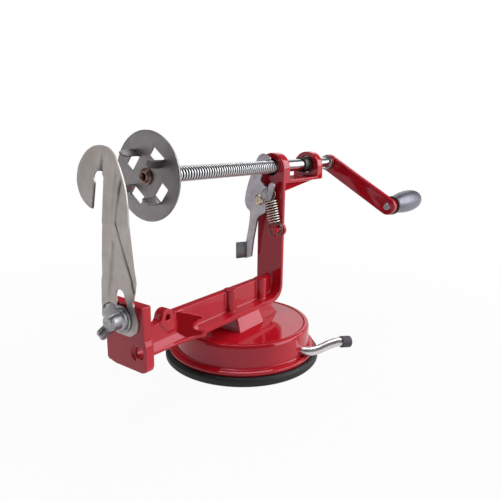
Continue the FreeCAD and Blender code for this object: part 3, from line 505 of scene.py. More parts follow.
def inside(point, outline):
    """Whether a flat point lies within a closed outline."""
    x, y = point
    hit = False
    for (x0, y0), (x1, y1) in zip(outline, outline[1:] + outline[:1]):
        if (y0 > y) != (y1 > y) and x < (x1 - x0) * (y - y0) / (y1 - y0) + x0:
            hit = not hit
    return hit


def divided(line, pitch, closed=True):
    """A line with points added so that none of its sides is longer than pitch."""
    out = []
    for a, b in zip(line, line[1:] + line[:1] if closed else line[1:]):
        parts = max(1, math.ceil(math.dist(a, b) / pitch))
        out += [(a[0] + (b[0] - a[0]) * k / parts, a[1] + (b[1] - a[1]) * k / parts) for k in range(parts)]
    return out if closed else out + [tuple(line[-1])]


def pressed_sheet(outline, holes, pitch, place, thickness, folds=()):
    """A sheet piece: a flat outline with holes filled with a grid of points, with an edge along every fold.
    place(u, v) lifts the front side into space, and the back side follows it at the sheet's thickness."""
    rings = [divided(outline, pitch)] + [divided(hole, pitch) for hole in holes]
    verts = []
    edges = []
    for ring in rings:
        base = len(verts)
        verts += ring
        edges += [(base + i, base + (i + 1) % len(ring)) for i in range(len(ring))]
    for fold in folds:
        base = len(verts)
        line = divided(fold, pitch, False)
        verts += line
        edges += [(base + i, base + i + 1) for i in range(len(line) - 1)]
    rim = [Vector(v) for v in verts]
    us = [p[0] for p in rings[0]]
    vs = [p[1] for p in rings[0]]
    row = 0
    v = min(vs) + pitch / 2
    while v < max(vs):
        u = min(us) + (pitch / 2 if row % 2 else 0)
        while u < max(us):
            spot = (u, v)
            if (inside(spot, rings[0]) and not any(inside(spot, ring) for ring in rings[1:])
                    and min((p - Vector(spot)).length_squared for p in rim) > (0.55 * pitch) ** 2):
                verts.append(spot)
            u += pitch
        v += pitch * 0.866
        row += 1
    flat, _, tris, *_ = geometry.delaunay_2d_cdt([Vector(p) for p in verts], edges, [], 0, 1e-5)
    kept = []
    for tri in tris:
        mid = sum((flat[i] for i in tri), Vector((0, 0))) / 3
        if inside(mid, rings[0]) and not any(inside(mid, ring) for ring in rings[1:]):
            kept.append(tuple(tri))
    step = 0.05
    front = []
    back = []
    for p in flat:
        here = Vector(place(p.x, p.y))
        du = Vector(place(p.x + step, p.y)) - Vector(place(p.x - step, p.y))
        dv = Vector(place(p.x, p.y + step)) - Vector(place(p.x, p.y - step))
        normal = du.cross(dv).normalized()
        front.append(tuple(here))
        back.append(tuple(here + normal * thickness))
    n = len(front)
    faces = list(kept) + [tuple(n + i for i in reversed(tri)) for tri in kept]
    uses = {}
    for tri in kept:
        for a, b in zip(tri, tri[1:] + tri[:1]):
            uses[frozenset((a, b))] = None if frozenset((a, b)) in uses else (a, b)
    faces += [(b, a, n + a, n + b) for a, b in (side for side in uses.values() if side)]
    return front + back, faces


def circle(at, radius, steps=40, start=0.0, sweep=360.0):
    """Points round a circle; a full circle's first point isn't repeated."""
    full = sweep >= 360.0
    return [(at[0] + radius * math.cos(math.radians(start + sweep * i / (steps if full else steps - 1))),
             at[1] + radius * math.sin(math.radians(start + sweep * i / (steps if full else steps - 1))))
            for i in range(steps)]


def make(name, part):
    """An object from points in millimetres and faces, with doubled points merged and normals outward."""
    points, faces = part
    mesh = bpy.data.meshes.new(name)
    mesh.from_pydata([tuple(c * MM for c in p) for p in points], [], faces)
    shape = bmesh.new()
    shape.from_mesh(mesh)
    bmesh.ops.remove_doubles(shape, verts=shape.verts, dist=2e-6)
    bmesh.ops.dissolve_degenerate(shape, edges=shape.edges, dist=1e-6)
    bmesh.ops.recalc_face_normals(shape, faces=shape.faces)
    shape.to_mesh(mesh)
    shape.free()
    obj = bpy.data.objects.new(name, mesh)
    bpy.context.scene.collection.objects.link(obj)
    return obj


def apply(obj):
    """Makes what the modifiers give the object's own mesh."""
    result = bpy.data.meshes.new_from_object(obj.evaluated_get(bpy.context.evaluated_depsgraph_get()))
    obj.modifiers.clear()
    obj.data = result
    return obj


def modify(obj, kind, **options):
    """Adds a modifier with its settings."""
    modifier = obj.modifiers.new(kind.lower(), kind)
    for key, value in options.items():
        setattr(modifier, key, value)
    return obj


def soften(obj, width, segments=2):
    """Rounds the edges that turn by more than 50 degrees."""
    modify(obj, "BEVEL", width=width * MM, segments=segments, limit_method="ANGLE", angle_limit=math.radians(50))
    return apply(obj)


def cast_skin(obj, cell, passes):
    """Fuses overlapping solids into one skin, with edges and corners rounded as in a die casting."""
    modify(obj, "REMESH", mode="VOXEL", voxel_size=cell, use_smooth_shade=True)
    modify(obj, "SMOOTH", factor=0.5, iterations=passes)
    return apply(obj)


def carve(obj, cutter):
    """Cuts the cutter's shape out of the object."""
    modify(obj, "BOOLEAN", operation="DIFFERENCE", object=cutter, solver="EXACT")
    apply(obj)
    bpy.data.objects.remove(cutter)
    return obj


def dress(obj, material, body, nodes, crease=38):
    """Gives a piece its finish, its body and the frame nodes it stands for."""
    mesh = obj.data
    mesh.materials.clear()
    mesh.materials.append(material)
    mesh.shade_smooth()
    mesh.set_sharp_from_angle(angle=math.radians(crease))
    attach(obj, body)
    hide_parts(*nodes)
    return obj


def refinish(node, material):
    """Gives a frame node that stays in view its finish."""
    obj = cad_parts[node]
    if not obj.material_slots:
        obj.data.materials.append(material)
    for place in obj.material_slots:
        place.material = material


# ---------------------------------------------------------------------------
# The red castings
# ---------------------------------------------------------------------------
def casting_shape():
    """The frame's casting with its end plate squared off below and its side hole narrowed behind the counterbore."""
    low = 31.0
    corners = [[(17.6, 40.0), (17.6, 33.2), (16.4, 32.0), (9.0, low), (9.0, 40.0)],
               [(-9.0, 40.0), (-9.0, low), (-14.2, low), (-16.6, 32.0), (-17.6, 34.4), (-17.6, 40.0)]]
    x0, x1 = PLATE_FACE + 1.7, PLATE_FACE + PLATE_T
    hole = turned([(x0, 3.2), (x1, 3.2), (x1, 4.7), (x0, 4.7), (x0, 3.2)], "X", SIDE_HOLE, 48)
    obj = make("cast_frame", together(hole, *(prism(line, PLATE_FACE, x1) for line in corners)))
    shape = bmesh.new()
    shape.from_mesh(obj.data)
    shape.from_mesh(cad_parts["frame_casting"].data)
    shape.to_mesh(obj.data)
    shape.free()
    _, sizes = settings()
    return cast_skin(obj, sizes.cast_grain, 5)


def shelter(obj):
    """Marks the near gusset's outer face for painted shade and painted weaker reflections, as it sees only the flange
    and the neck.
    """
    out = Vector((-0.535, -0.845, 0.0))
    shade = obj.data.attributes.new("sheltered", "FLOAT", "POINT")
    for i, vertex in enumerate(obj.data.vertices):
        x, y, z = vertex.co / MM
        face = -78.0 < x < -60.5 and y < -3.0 and 37.0 < z < 55.0 and vertex.normal.dot(out) > 0.85
        shade.data[i].value = 1.0 if face else 0.0


def drum_shape():
    """The pressed drum: a rolled skirt, a bead above it, an upright wall and a flat roof with a low rim."""
    wall = rounded([(25.0, 47.0), (6.4, 47.0, 0), (6.4, 56.6, 0.5), (7.6, 57.2, 0.6), (9.0, 57.2, 0.9),
                    (9.9, 55.6, 0.8), (9.7, 53.6, 0.7), (10.6, 52.4, 0.8), (25.2, 52.4, 1.0), (27.3, 51.7, 0.9),
                    (27.6, 49.2, 0.7), (27.2, 48.0, 0.6), (27.2, 0.0)], 0.5, 5, closed=False)
    return turned(wall, "Z", (0.0, 0.0), 192)


def pedestal_shape():
    """The block under the beam, in a wide step and a narrow one, each sloping in to the band's width."""
    low, high = 26.8, 36.9
    blocks = []
    for x0, x1, foot, top, lean in ((-24.2, 6.2, 16.8, 12.2, 0.6), (4.0, 32.0, 12.6, 11.4, 10.0)):
        base = [(x0, -foot, low), (x1, -foot, low), (x1, foot, low), (x0, foot, low)]
        head = [(x0 + 2.0, -top, high), (x1 - lean, -top, high), (x1 - lean, top, high), (x0 + 2.0, top, high)]
        faces = [(3, 2, 1, 0), (4, 5, 6, 7)] + [(i, (i + 1) % 4, 4 + (i + 1) % 4, 4 + i) for i in range(4)]
        blocks.append((base + head, faces))
    return together(*blocks)


class CUTTER_OT_castings(bpy.types.Operator):
    """Adds the enamelled frame casting, the drum and its pedestal"""
    bl_idname = "cutter.castings"
    bl_label = "Castings"

    def execute(self, context):
        enamel = stoved_enamel()
        recess = make("recess", turned([(35.0, 0.0), (35.0, 7.0), (37.5, 6.6), (44.0, 6.4), (44.0, 0.0)],
                                       "X", SHAFT, 48))
        casting = carve(casting_shape(), recess)
        shelter(casting)
        dress(casting, enamel, "frame", ["frame_casting"], 60)
        drum = make("drum", drum_shape())
        dress(drum, enamel, "frame", ["base_housing"], 50)
        pedestal = cast_skin(make("drum_pedestal", pedestal_shape()), 0.5 * MM, 4)
        dress(pedestal, enamel, "frame", ["base_housing"], 50)
        return {"FINISHED"}


# ---------------------------------------------------------------------------
# Suction foot
# ---------------------------------------------------------------------------
class CUTTER_OT_foot(bpy.types.Operator):
    """Adds the moulded rubber foot"""
    bl_idname = "cutter.foot"
    bl_label = "Rubber foot"

    def execute(self, context):
        section = rounded([(1.6, 0.0), (1.6, 38.0, 4), (0.0, 46.0, 3), (0.0, 59.0, 0.8), (1.1, 60.0, 1.2),
                           (4.8, 60.0, 1.4), (6.4, 58.4, 0.8), (6.4, 48.0, 1), (5.0, 44.0, 1), (5.0, 0.0)],
                          1.0, 5, closed=False)
        foot = make("suction_foot", turned(section, "Z", (0.0, 0.0), 192))
        dress(foot, moulded_rubber(), "frame", ["suction_cup"], 50)
        return {"FINISHED"}


class CUTTER_OT_lever(bpy.types.Operator):
    """Adds the suction lever's bent bar and its rubber cap"""
    bl_idname = "cutter.lever"
    bl_label = "Suction lever"

    def execute(self, context):
        x, z = LEVER
        bends = [(x, -40.0, z), (x, -49.0, z), (x + 0.4, -54.6, z - 0.2), (x + 3.4, -58.8, z - 0.2),
                 (x + 7.6, -62.8, z + 1.0), (x + 12.6, -68.4, z + 4.4), (x + 16.4, -72.8, z + 6.2),
                 (x + 19.2, -76.0, z + 6.4), (x + 23.0, -78.5, z + 6.0)]
        bar = make("lever_bar", tube(through(bends), LEVER_R, 28))
        dress(bar, buffed_nickel(), "lever", ["suction_lever"])
        tip = Vector(bends[-1])
        along = (tip - Vector(bends[-2])).normalized()
        turn = Vector((1, 0, 0)).rotation_difference(along).to_matrix().to_4x4()
        cap = rounded([(-6.4, LEVER_R), (-6.4, 4.2, 0.6), (1.4, 4.3, 1.6), (2.4, 0.0)], 0.6, 6, closed=False)
        shape = turned_about(turned(cap, "X", (0.0, 0.0), 48), Matrix.Translation(tip) @ turn)
        dress(make("lever_grip", shape), dusty_rubber(), "lever", ["lever_cap"], 50)
        return {"FINISHED"}


# ---------------------------------------------------------------------------
# Feed screw
# ---------------------------------------------------------------------------
def thread_shape(root=3.6, steps=48):
    """A rolled thread: rounded crests and roots, wound about the screw's axis."""
    tooth = [(-0.5, 0.0), (-0.42, 0.05), (-0.35, 0.25), (-0.25, 0.75), (-0.17, 0.93), (-0.08, 1.0), (0.08, 1.0),
             (0.17, 0.93), (0.25, 0.75), (0.35, 0.25), (0.42, 0.05), (0.5, 0.0)]
    points = []
    faces = []
    count = len(tooth)
    total = THREAD_TURNS * steps
    for i in range(total + 1):
        a = 2 * math.pi * i / steps
        for share, height in tooth:
            r = root + (SCREW_R - root) * height
            x = THREAD_FIRST + PITCH * (i / steps + share)
            points.append((x, SHAFT[0] + r * math.sin(a), SHAFT[1] - r * math.cos(a)))
    for i in range(total):
        for k in range(count - 1):
            faces.append((i * count + k, i * count + k + 1, (i + 1) * count + k + 1, (i + 1) * count + k))
    faces.append(tuple(range(count)))
    faces.append(tuple(range(total * count + count - 1, total * count - 1, -1)))
    return points, faces


class CUTTER_OT_feed_screw(bpy.types.Operator):
    """Adds the chrome plated feed screw with its rolled thread"""
    bl_idname = "cutter.feed_screw"
    bl_label = "Feed screw"

    def execute(self, context):
        first = THREAD_FIRST
        last = THREAD_FIRST + THREAD_TURNS * PITCH
        front = turned([(SCREW_FRONT, 2.6), (SCREW_FRONT, SCREW_R), (first - 1.5, SCREW_R), (first - 0.9, 3.88),
                        (first + 1.0, 3.8)], "X", SHAFT, 64)
        rear = turned([(last - 1.0, 3.8), (last + 1.0, 3.88), (last + 1.6, SCREW_R), (CRANK_FACE, SCREW_R),
                       (CRANK_FACE, 3.5)], "X", SHAFT, 64)
        shaft = make("feed_shaft", together(front, rear))
        dress(shaft, chrome_plate(), "screw", ["feed_screw"], 40)
        thread = make("feed_thread", thread_shape())
        dress(thread, rolled_thread(), "screw", ["feed_screw"], 40)
        return {"FINISHED"}


# ---------------------------------------------------------------------------
# Potato fork
# ---------------------------------------------------------------------------
PRONG_SHADE = (0.5, 0.55, 0.0, 0.1)      # painted shade on each prong, from the first window on; it grows over the first 3 mm out from the disc


def disc_place(u, v):
    """A point of the disc's flat front side."""
    return (SCREW_FRONT - DISC_T, SHAFT[0] + u, SHAFT[1] + v)


def turn_points(points, degrees):
    """Flat points turned about the middle."""
    c, s = math.cos(math.radians(degrees)), math.sin(math.radians(degrees))
    return [(c * u - s * v, s * u + c * v) for u, v in points]


def prong_shape(angle):
    """A tab bent forward out of the disc, tapering to a slanted, slightly curled tip."""
    path = [(0.6, 4.6), (0.0, 5.2), (-0.9, 5.75), (-2.4, 5.9), (-5.0, 5.8), (-8.0, 5.5), (-10.2, 5.0), (-11.9, 4.3)]
    inner = [11.4, 11.4, 11.4, 11.45, 11.5, 11.6, 11.8, 14.2]
    outer = [17.6, 17.6, 17.6, 17.6, 17.6, 17.5, 17.4, 16.9]
    rows = []
    for (x, v), low, high in zip(path, inner, outer):
        rows.append([(SCREW_FRONT - 0.6 + x, low + (high - low) * k / 6, v) for k in range(7)])
    across = len(rows[0])
    top = [p for row in rows for p in row]
    faces = []
    for i in range(len(rows) - 1):
        for k in range(across - 1):
            faces.append((i * across + k, i * across + k + 1, (i + 1) * across + k + 1, (i + 1) * across + k))
    spin = Matrix.Translation((0, *SHAFT)) @ Matrix.Rotation(math.radians(angle), 4, "X")
    return [tuple(spin @ Vector(p)) for p in top], faces


class CUTTER_OT_fork(bpy.types.Operator):
    """Adds the fork disc with its windows and prongs, and the hub for the skewer"""
    bl_idname = "cutter.fork"
    bl_label = "Potato fork"

    def execute(self, context):
        _, sizes = settings()
        turns = [WINDOW_TURN + 360 // WINDOWS * k for k in range(WINDOWS)]
        window = rounded([(11.3, -5.5), (17.7, -5.5), (17.7, 5.4), (11.3, 5.4)], 0.7, 3)
        holes = [turn_points(window, turn) for turn in turns] + [circle((0, 0), 3.3, 32)]
        part = pressed_sheet(circle((0, 0), DISC_R, 128), holes, sizes.sheet_grid / MM, disc_place, DISC_T)
        disc = soften(make("fork_disc_plate", part), 0.22)
        dress(disc, disc_steel(), "screw", ["fork_disc"], 45)
        for k, turn in enumerate(turns):
            prong = make("fork_prong_%d" % (k + 1), prong_shape(turn))
            modify(prong, "SOLIDIFY", thickness=1.15 * MM, offset=0.0)
            modify(prong, "SUBSURF", levels=2, render_levels=2)
            apply(prong)
            # painted shade on the prong, read by the steel's pressed attribute
            shade = prong.data.attributes.new("pressed", "FLOAT", "POINT")
            for i, vertex in enumerate(prong.data.vertices):
                out = (SCREW_FRONT - vertex.co.x / MM) / 3
                shade.data[i].value = PRONG_SHADE[k] * min(1.0, max(0.2, out))
            dress(prong, disc_steel(), "screw", ["fork_disc"], 50)
        x = SCREW_FRONT
        section = rounded([(x + 9.0, 1.6), (x - 2.4, 1.6, 0.3), (x - 4.2, 2.5, 0.2), (x - 4.2, 3.6, 0.3),
                           (x - 2.8, 3.8, 0.2), (x - 2.4, 4.9, 0.4), (x - 1.3, 5.0, 0.2), (x - 1.2, 3.4), (x, 3.4),
                           (x, 2.6), (x + 9.0, 2.6)], 0.2, 4)
        hub = make("fork_skewer_tube", turned(section + section[:1], "X", SHAFT, 64))
        dress(hub, browned_brass(), "screw", ["fork_hub"], 45)
        return {"FINISHED"}


# ---------------------------------------------------------------------------
# Crank and handle
# ---------------------------------------------------------------------------
ARM_TILT = 180.0 + 30.9         # degrees from +Y to the arm, about X
ARM_REACH = 70.5                # between the screw's axis and the handle's
ARM_HALF = 7.5                  # half the arm's width
ARM_FRONT = 3.0                 # from the boss's front face to the arm's front
ARM_BACK = 9.0                  # and to the arm's back
END_BOSS = 3.5                  # how far the boss under the handle stands out
COLLAR = 6.0                    # length of the black collar


def crank_end():
    """y and z of the handle's axis."""
    a = math.radians(ARM_TILT)
    return SHAFT[0] + ARM_REACH * math.cos(a), SHAFT[1] + ARM_REACH * math.sin(a)


class CUTTER_OT_crank(bpy.types.Operator):
    """Adds the crank arm with its boss"""
    bl_idname = "cutter.crank"
    bl_label = "Crank arm"

    def execute(self, context):
        _, sizes = settings()
        bar = circle((0, 0), ARM_HALF, 24, 90, 180) + circle((ARM_REACH, 0), ARM_HALF, 24, -90, 180)
        x0, x1 = CRANK_FACE + ARM_FRONT, CRANK_FACE + ARM_BACK
        arm = soften(make("crank_bar", prism(bar, x0, x1)), sizes.arm_edge / MM, 4)
        boss = make("crank_boss", turned(rounded([(x0 + 1, 0.0), (x0 + 1, 7.0, 0), (CRANK_FACE, 7.0, 1.0),
                                                  (CRANK_FACE, 0.0)], 1.0, 5, closed=False), "X", (0, 0), 64))
        spin = Matrix.Translation((0, SHAFT[0] * MM, SHAFT[1] * MM)) @ Matrix.Rotation(math.radians(ARM_TILT), 4, "X")
        end = rounded([(x1 - 1, 0.0), (x1 - 1, 7.3, 0), (x1 + END_BOSS, 6.9, 1.8), (x1 + END_BOSS, 0.0)], 0.8, 6,
                      closed=False)
        end = make("crank_end_boss", turned(end, "X", (ARM_REACH, 0), 64))
        for obj in (arm, boss, end):
            obj.data.transform(spin)
            dress(obj, stoved_enamel(), "screw", ["crank_arm"], 45)
        return {"FINISHED"}


class CUTTER_OT_handle(bpy.types.Operator):
    """Adds the egg shaped knob and its ferrule, and gives the rivet and the crank's screw their finish"""
    bl_idname = "cutter.handle"
    bl_label = "Handle"

    def execute(self, context):
        at = crank_end()
        x = CRANK_FACE + ARM_BACK + END_BOSS + COLLAR
        egg = through([(0.0, 6.6), (5.0, 7.4), (13.0, 8.7), (24.0, 9.8), (36.0, 10.2), (46.0, 9.9), (54.0, 8.8),
                       (60.0, 6.8), (63.2, 5.0)], 6)
        line = [(x, 3.1)] + [(x + a, r) for a, r in egg] + [(x + 63.4, 4.2), (x + 52.0, 4.1), (x + 52.0, 3.1)]
        knob = make("knob_grip", turned(line, "X", at, 96))
        dress(knob, polished_knob(), "handle", ["knob"], 50)
        ring = rounded([(x - COLLAR, 3.0), (x - COLLAR, 8.4, 0.7), (x - 2.8, 8.4, 0.9), (x - 2.6, 7.3, 0.4),
                        (x - 0.1, 7.1, 0.6), (x - 0.1, 3.0)], 0.7, 5, closed=False)
        ferrule = make("handle_collar", turned(ring, "X", at, 64))
        dress(ferrule, black_nylon(), "screw", ["handle_ferrule"], 45)
        for node in ("handle_pin", "crank_screw"):
            refinish(node, zinc_plate())
        return {"FINISHED"}


# ---------------------------------------------------------------------------
# Thread latch
# ---------------------------------------------------------------------------
def latch_outline():
    """The plate's (y, z) outline, round from the back of its hook over the screw and down to the tab."""
    py, pz = PIVOT
    sz = SHAFT[1]
    return [(9.3, sz + 6.1), (7.5, sz + 8.8), (4.6, sz + 10.5), (0.8, sz + 9.8), (-3.0, sz + 7.6),
            (-3.0, sz + 5.6, 0.2), (1.6, sz + 5.0, 1.5), (4.6, sz + 2.6, 2.5), (5.1, sz - 0.6, 2.5),
            (4.0, sz - 3.6, 1.0), (4.2, sz - 6.2, 0.5), (5.9, sz - 10.4, 1.0), (1.6, pz + 11.4), (-0.8, pz + 10.3, 0.6),
            (-1.5, pz + 5.6, 0.3), (-2.0, pz + 11.8), (-4.2, pz + 14.4), (-6.8, pz + 14.0), (-7.4, pz + 11.8),
            (-6.4, pz + 8.0), (-4.9, pz + 1.6), (-3.0, pz - 0.2), (0.2, pz - 0.2, 0.8), (1.2, pz - 1.6, 1.0),
            (0.2, pz - 4.0, 1.0), (0.2, pz - 9.6, 1.5), (py + 0.1, pz - 13.4, 2.0), (py + 1.9, pz - 16.0, 2.0),
            (py + 5.6, pz - 33.7), (py + 7.4, TAB_LOW + 1.8), (TAB_FOLD - 1.0, TAB_LOW, 0.6),
            (TAB_FOLD - 1.0, TAB_LOW + TAB_TALL, 0.6), (py + 9.9, pz - 21.7, 4.0), (py + 9.0, pz - 13.3, 3.0),
            (py + 9.0, pz - 10.0, 2.0), (py + 12.1, pz - 7.8, 3.0), (py + 14.2, pz - 3.9, 3.0),
            (py + 14.3, pz + 0.2, 3.0), (py + 13.3, pz + 5.2, 3.0), (py + 11.4, pz + 11.8, 4.0),
            (py + 8.5, pz + 20.0, 3.0)]


def latch_place(u, v):
    """A point of the latch plate's flat front side."""
    return (LATCH_FACE, u, v)


def tab_outline():
    """The bent thumb tab in (x, y): a short foot on the plate, the fold and the leaf that stands forward."""
    bend = math.radians(TAB_BEND)
    along = Vector((-math.sin(bend), math.cos(bend))) * 7.4
    across = Vector((math.cos(bend), math.sin(bend))) * LATCH_T
    fold = Vector((LATCH_FACE, TAB_FOLD))
    back = LATCH_FACE + LATCH_T
    return rounded([(LATCH_FACE, TAB_FOLD - 2.2, 0), (*fold, 1.2), (*(fold + along), 0.4),
                    (*(fold + along + across), 0.4), (*(fold + across), 2.4), (back, TAB_FOLD + 0.6, 0.6),
                    (back, TAB_FOLD - 2.2, 0)], 0.8, 4)


class CUTTER_OT_latch(bpy.types.Operator):
    """Adds the latch plate with its thumb tab, and the pivot screw"""
    bl_idname = "cutter.latch"
    bl_label = "Thread latch"

    def execute(self, context):
        _, sizes = settings()
        part = pressed_sheet(rounded(latch_outline(), 1.2, 3), [], sizes.sheet_grid / MM, latch_place, LATCH_T)
        plate = soften(make("latch_plate", part), 0.25)
        dress(plate, tumbled_steel(), "latch", ["latch_lever"], 45)
        tab = soften(make("latch_thumb_tab", prism(tab_outline(), TAB_LOW, TAB_LOW + TAB_TALL, "Z")), 0.3)
        dress(tab, folded_steel(), "latch", ["latch_lever"], 45)

        y, z = PIVOT
        x = LATCH_FACE - 0.1
        dome = rounded([(x + 0.2, 0.0), (x + 0.2, 4.4, 0), (x - 0.7, 4.4, 0.5), (x - 1.9, 3.1, 1.4), (x - 2.2, 0.0)],
                       0.4, 5, closed=False)
        head = make("pivot_head", turned(dome, "X", PIVOT, 48))
        for wide, tall in ((0.35, 2.4), (2.4, 0.35)):
            slot = make("slot", prism([(y - wide, z - tall), (y + wide, z - tall), (y + wide, z + tall),
                                       (y - wide, z + tall)], x - 3.0, x - 1.1))
            carve(head, slot)
        dress(head, passivated_brass(), "frame", ["latch_pivot_screw"], 35)
        return {"FINISHED"}


class CUTTER_OT_latch_spring(bpy.types.Operator):
    """Adds the spring, wound from the loop in the latch down to the peg's eye"""
    bl_idname = "cutter.latch_spring"
    bl_label = "Latch spring"

    def execute(self, context):
        _, sizes = settings()
        radius = sizes.coil_radius / MM
        wire = sizes.wire / MM / 2
        x = LATCH_FACE + 1.0
        level = Vector((0.59, -0.807, 0.0))     # both eyes are turned half towards the blade end
        upright = Vector((0.184, 0.134, 0.974))
        top = Vector((x - 0.6, *HOOK))
        low = Vector((x, PEG[0], PEG[1] + 1.6))
        head = Vector((x, HOOK[0] - 1.8, HOOK[1] - 5.2))
        foot = Vector((x, PEG[0] + 1.4, PEG[1] + 6.7))
        body = (foot - head).length
        axis = (foot - head).normalized()
        side = Vector((1, 0, 0))
        across = axis.cross(side).normalized()
        coils = 8.5
        around = 24
        points = []
        for k in range(29):
            t = math.radians(-112 - 330 * k / 28)
            points.append(top + (level * math.cos(t) + upright * math.sin(t)) * 5.1)
        count = int(coils * around)
        for k in range(count + 1):
            t = 2 * math.pi * k / around + 0.6
            along = body * k / count
            points.append(head + axis * along + (side * math.cos(t) + across * math.sin(t)) * radius)
        for k in range(49):
            t = math.radians(80 - 590 * k / 48)
            points.append(low + (level * math.cos(t) + upright * math.sin(t)) * (5.4 - 0.9 * k / 48)
                          - side * (1.1 * k / 48))
        coil = make("latch_coil", tube(points, wire, 12))
        # painted shade: inner is 1 on the sides of the wire that face the coil's axis, 0.5 on the upper eye and 0.8 on
        # the lower
        shade = coil.data.attributes.new("inner", "FLOAT", "POINT")
        for i, vertex in enumerate(coil.data.vertices):
            from_head = vertex.co / MM - head
            along = from_head.dot(axis)
            off = (from_head - axis * along).length
            inner = max(0.0, min(1.0, (radius + wire * 0.5 - off) / (wire * 0.7)))
            shade.data[i].value = inner if 0 < along < body else 0.5 if along < 0 else 0.8
        dress(coil, spring_wire(), "frame", ["latch_spring"], 60)
        coil.parent = None
        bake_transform(coil)
        return {"FINISHED"}


# ---------------------------------------------------------------------------
# Slicing blade and its clamp
# ---------------------------------------------------------------------------
def blade_outline():
    """The blade's (y, z) outline: round head, open keyhole and slot edge, and the foot round the bolt's slot."""
    y0, z0 = BOLT
    z = SHAFT[1]
    head = [(-21.6, 121.0), (-21.4, z - 11.6), (-20.1, z - 2.4), (-17.2, z + 5.7), (-14.0, z + 12.0),
            (-10.0, z + 16.3), (-5.1, z + 18.0), (0.0, z + 18.3), (5.2, z + 17.2), (11.2, z + 14.0),
            (16.6, z + 7.8), (18.7, z + 1.1), (18.2, z - 4.0), (16.1, z - 8.7), (12.8, z - 12.2),
            (8.5, z - 14.7), (5.5, z - 15.6)]
    keyhole = circle((0.3, z + 1.1), 3.7, 25, -42, 246)
    foot = rounded([(0.2, 120.0), (10.6, 99.8, 6), (y0 + 18.8, 84.0, 5), (y0 + 19.8, z0 + 8.0, 4),
                    (y0 + 19.2, z0 + 0.5, 5), (y0 + 15.0, z0 - 6.0, 5), (y0 + 6.0, z0 - 8.2, 5),
                    (y0 - 5.0, z0 - 8.2, 5), (y0 - 11.4, z0 - 4.0, 5), (y0 - 12.3, z0 + 2.0, 5),
                    (y0 - 8.4, z0 + 13.0, 4), (y0 - 10.4, 80.6, 1.5), (-14.6, 96.0, 5), (-18.5, 110.0)],
                   2.0, 4, closed=False)
    return through(head, 4) + [(5.0, z - 14.4)] + keyhole + [(-2.9, z - 2.6), (-1.7, z - 10.6)] + foot


# Pressed lines in the blade: (y, z, depth, half width) from top to bottom, in millimetres
LONG_CREASE = [(-17.6, 147.4, 0.0, 1.1), (-16.6, 143.8, 0.55, 1.5), (-15.1, 139.5, 0.65, 1.6),
               (-14.0, 134.6, 0.4, 1.5), (-12.6, 129.3, 0.3, 1.4), (-11.3, 123.4, 0.3, 1.2),
               (-11.2, 121.4, 0.6, 1.3), (-11.2, 118.9, 0.55, 1.2), (-10.9, 114.8, 0.45, 1.2),
               (-10.6, 110.1, 0.45, 1.3), (-10.1, 103.0, 0.55, 1.4), (-9.6, 93.7, 0.7, 1.6),
               (-9.5, 84.4, 0.05, 1.8), (-10.6, 80.4, 0.0, 1.8)]
WEDGE = [(-2.7, 158.6, 0.0, 0.4), (-2.2, 155.4, 0.9, 1.0), (-1.5, 152.4, 1.4, 1.5), (-0.7, 148.7, 1.8, 2.2)]
RIDGE = [(-5.2, 112.4, 0.0, 1.6), (-4.0, 109.4, -0.35, 1.8), (-2.1, 105.3, -0.3, 2.0), (2.8, 96.8, -0.3, 2.2),
         (8.2, 87.8, -0.3, 2.4), (10.8, 79.6, -0.25, 2.4), (12.6, 68.2, 0.0, 2.4)]
SHALLOW = [(-13.6, 152.0, 0.0, 1.4), (-13.6, 148.0, 0.16, 1.8), (-11.6, 139.7, 0.16, 1.8), (-9.6, 131.7, 0.14, 1.8),
           (-8.0, 123.6, 0.0, 1.6)]
PRESSED = (LONG_CREASE, WEDGE, RIDGE, SHALLOW)
# Lines of painted shade that are flat: the crease's foot, which slides down over the end plate, and the lobe's sheared
# edge
CREASE_FOOT = [(-9.6, 93.7, 1.0, 1.6), (-9.5, 84.4, 1.0, 1.8), (-10.6, 80.4, 1.0, 1.8)]
LOBE_EDGE = [(3.1, 141.5, 1.0, 0.6), (5.0, 129.6, 1.0, 0.6), (5.5, 128.4, 0.8, 0.6), (8.5, 129.3, 0.6, 0.5),
             (12.8, 131.8, 0.0, 0.5)]
# How dark the painted shade of each line is where it is deepest
STAINED = ((LONG_CREASE, 1.0), (WEDGE, 1.0), (RIDGE, 0.4), (SHALLOW, 0.2), (LOBE_EDGE, 0.9), (CREASE_FOOT, 0.95))


def press(u, v, line):
    """How far a pressed line pushes a point back from the front side, from its whole depth on the line to none
    at its lips."""
    best = 0.0
    p = Vector((u, v))
    for a, b in zip(line, line[1:]):
        start, end = Vector(a[:2]), Vector(b[:2])
        t = max(0.0, min(1.0, (p - start).dot(end - start) / (end - start).length_squared))
        depth = a[2] + (b[2] - a[2]) * t
        width = a[3] + (b[3] - a[3]) * t
        near = 1 - (p - (start + (end - start) * t)).length / width
        if near > 0 and abs(depth * near) > abs(best):
            best = depth * near
    return best


def darkness(u, v):
    """How dark the sheet looks at a point: the pressed lines' middles hold no light."""
    return max(strength * abs(press(u, v, line)) / max(abs(point[2]) for point in line)
               for line, strength in STAINED)


def lips(line):
    """The middle and both edges of a pressed line, as folds of the sheet."""
    out = []
    for side in (-1, 0, 1):
        run = []
        for i, (u, v, _, width) in enumerate(line):
            a, b = line[max(i - 1, 0)], line[min(i + 1, len(line) - 1)]
            along = Vector((b[0] - a[0], b[1] - a[1])).normalized()
            run.append((u - along.y * side * width, v + along.x * side * width))
        out.append(run)
    return out


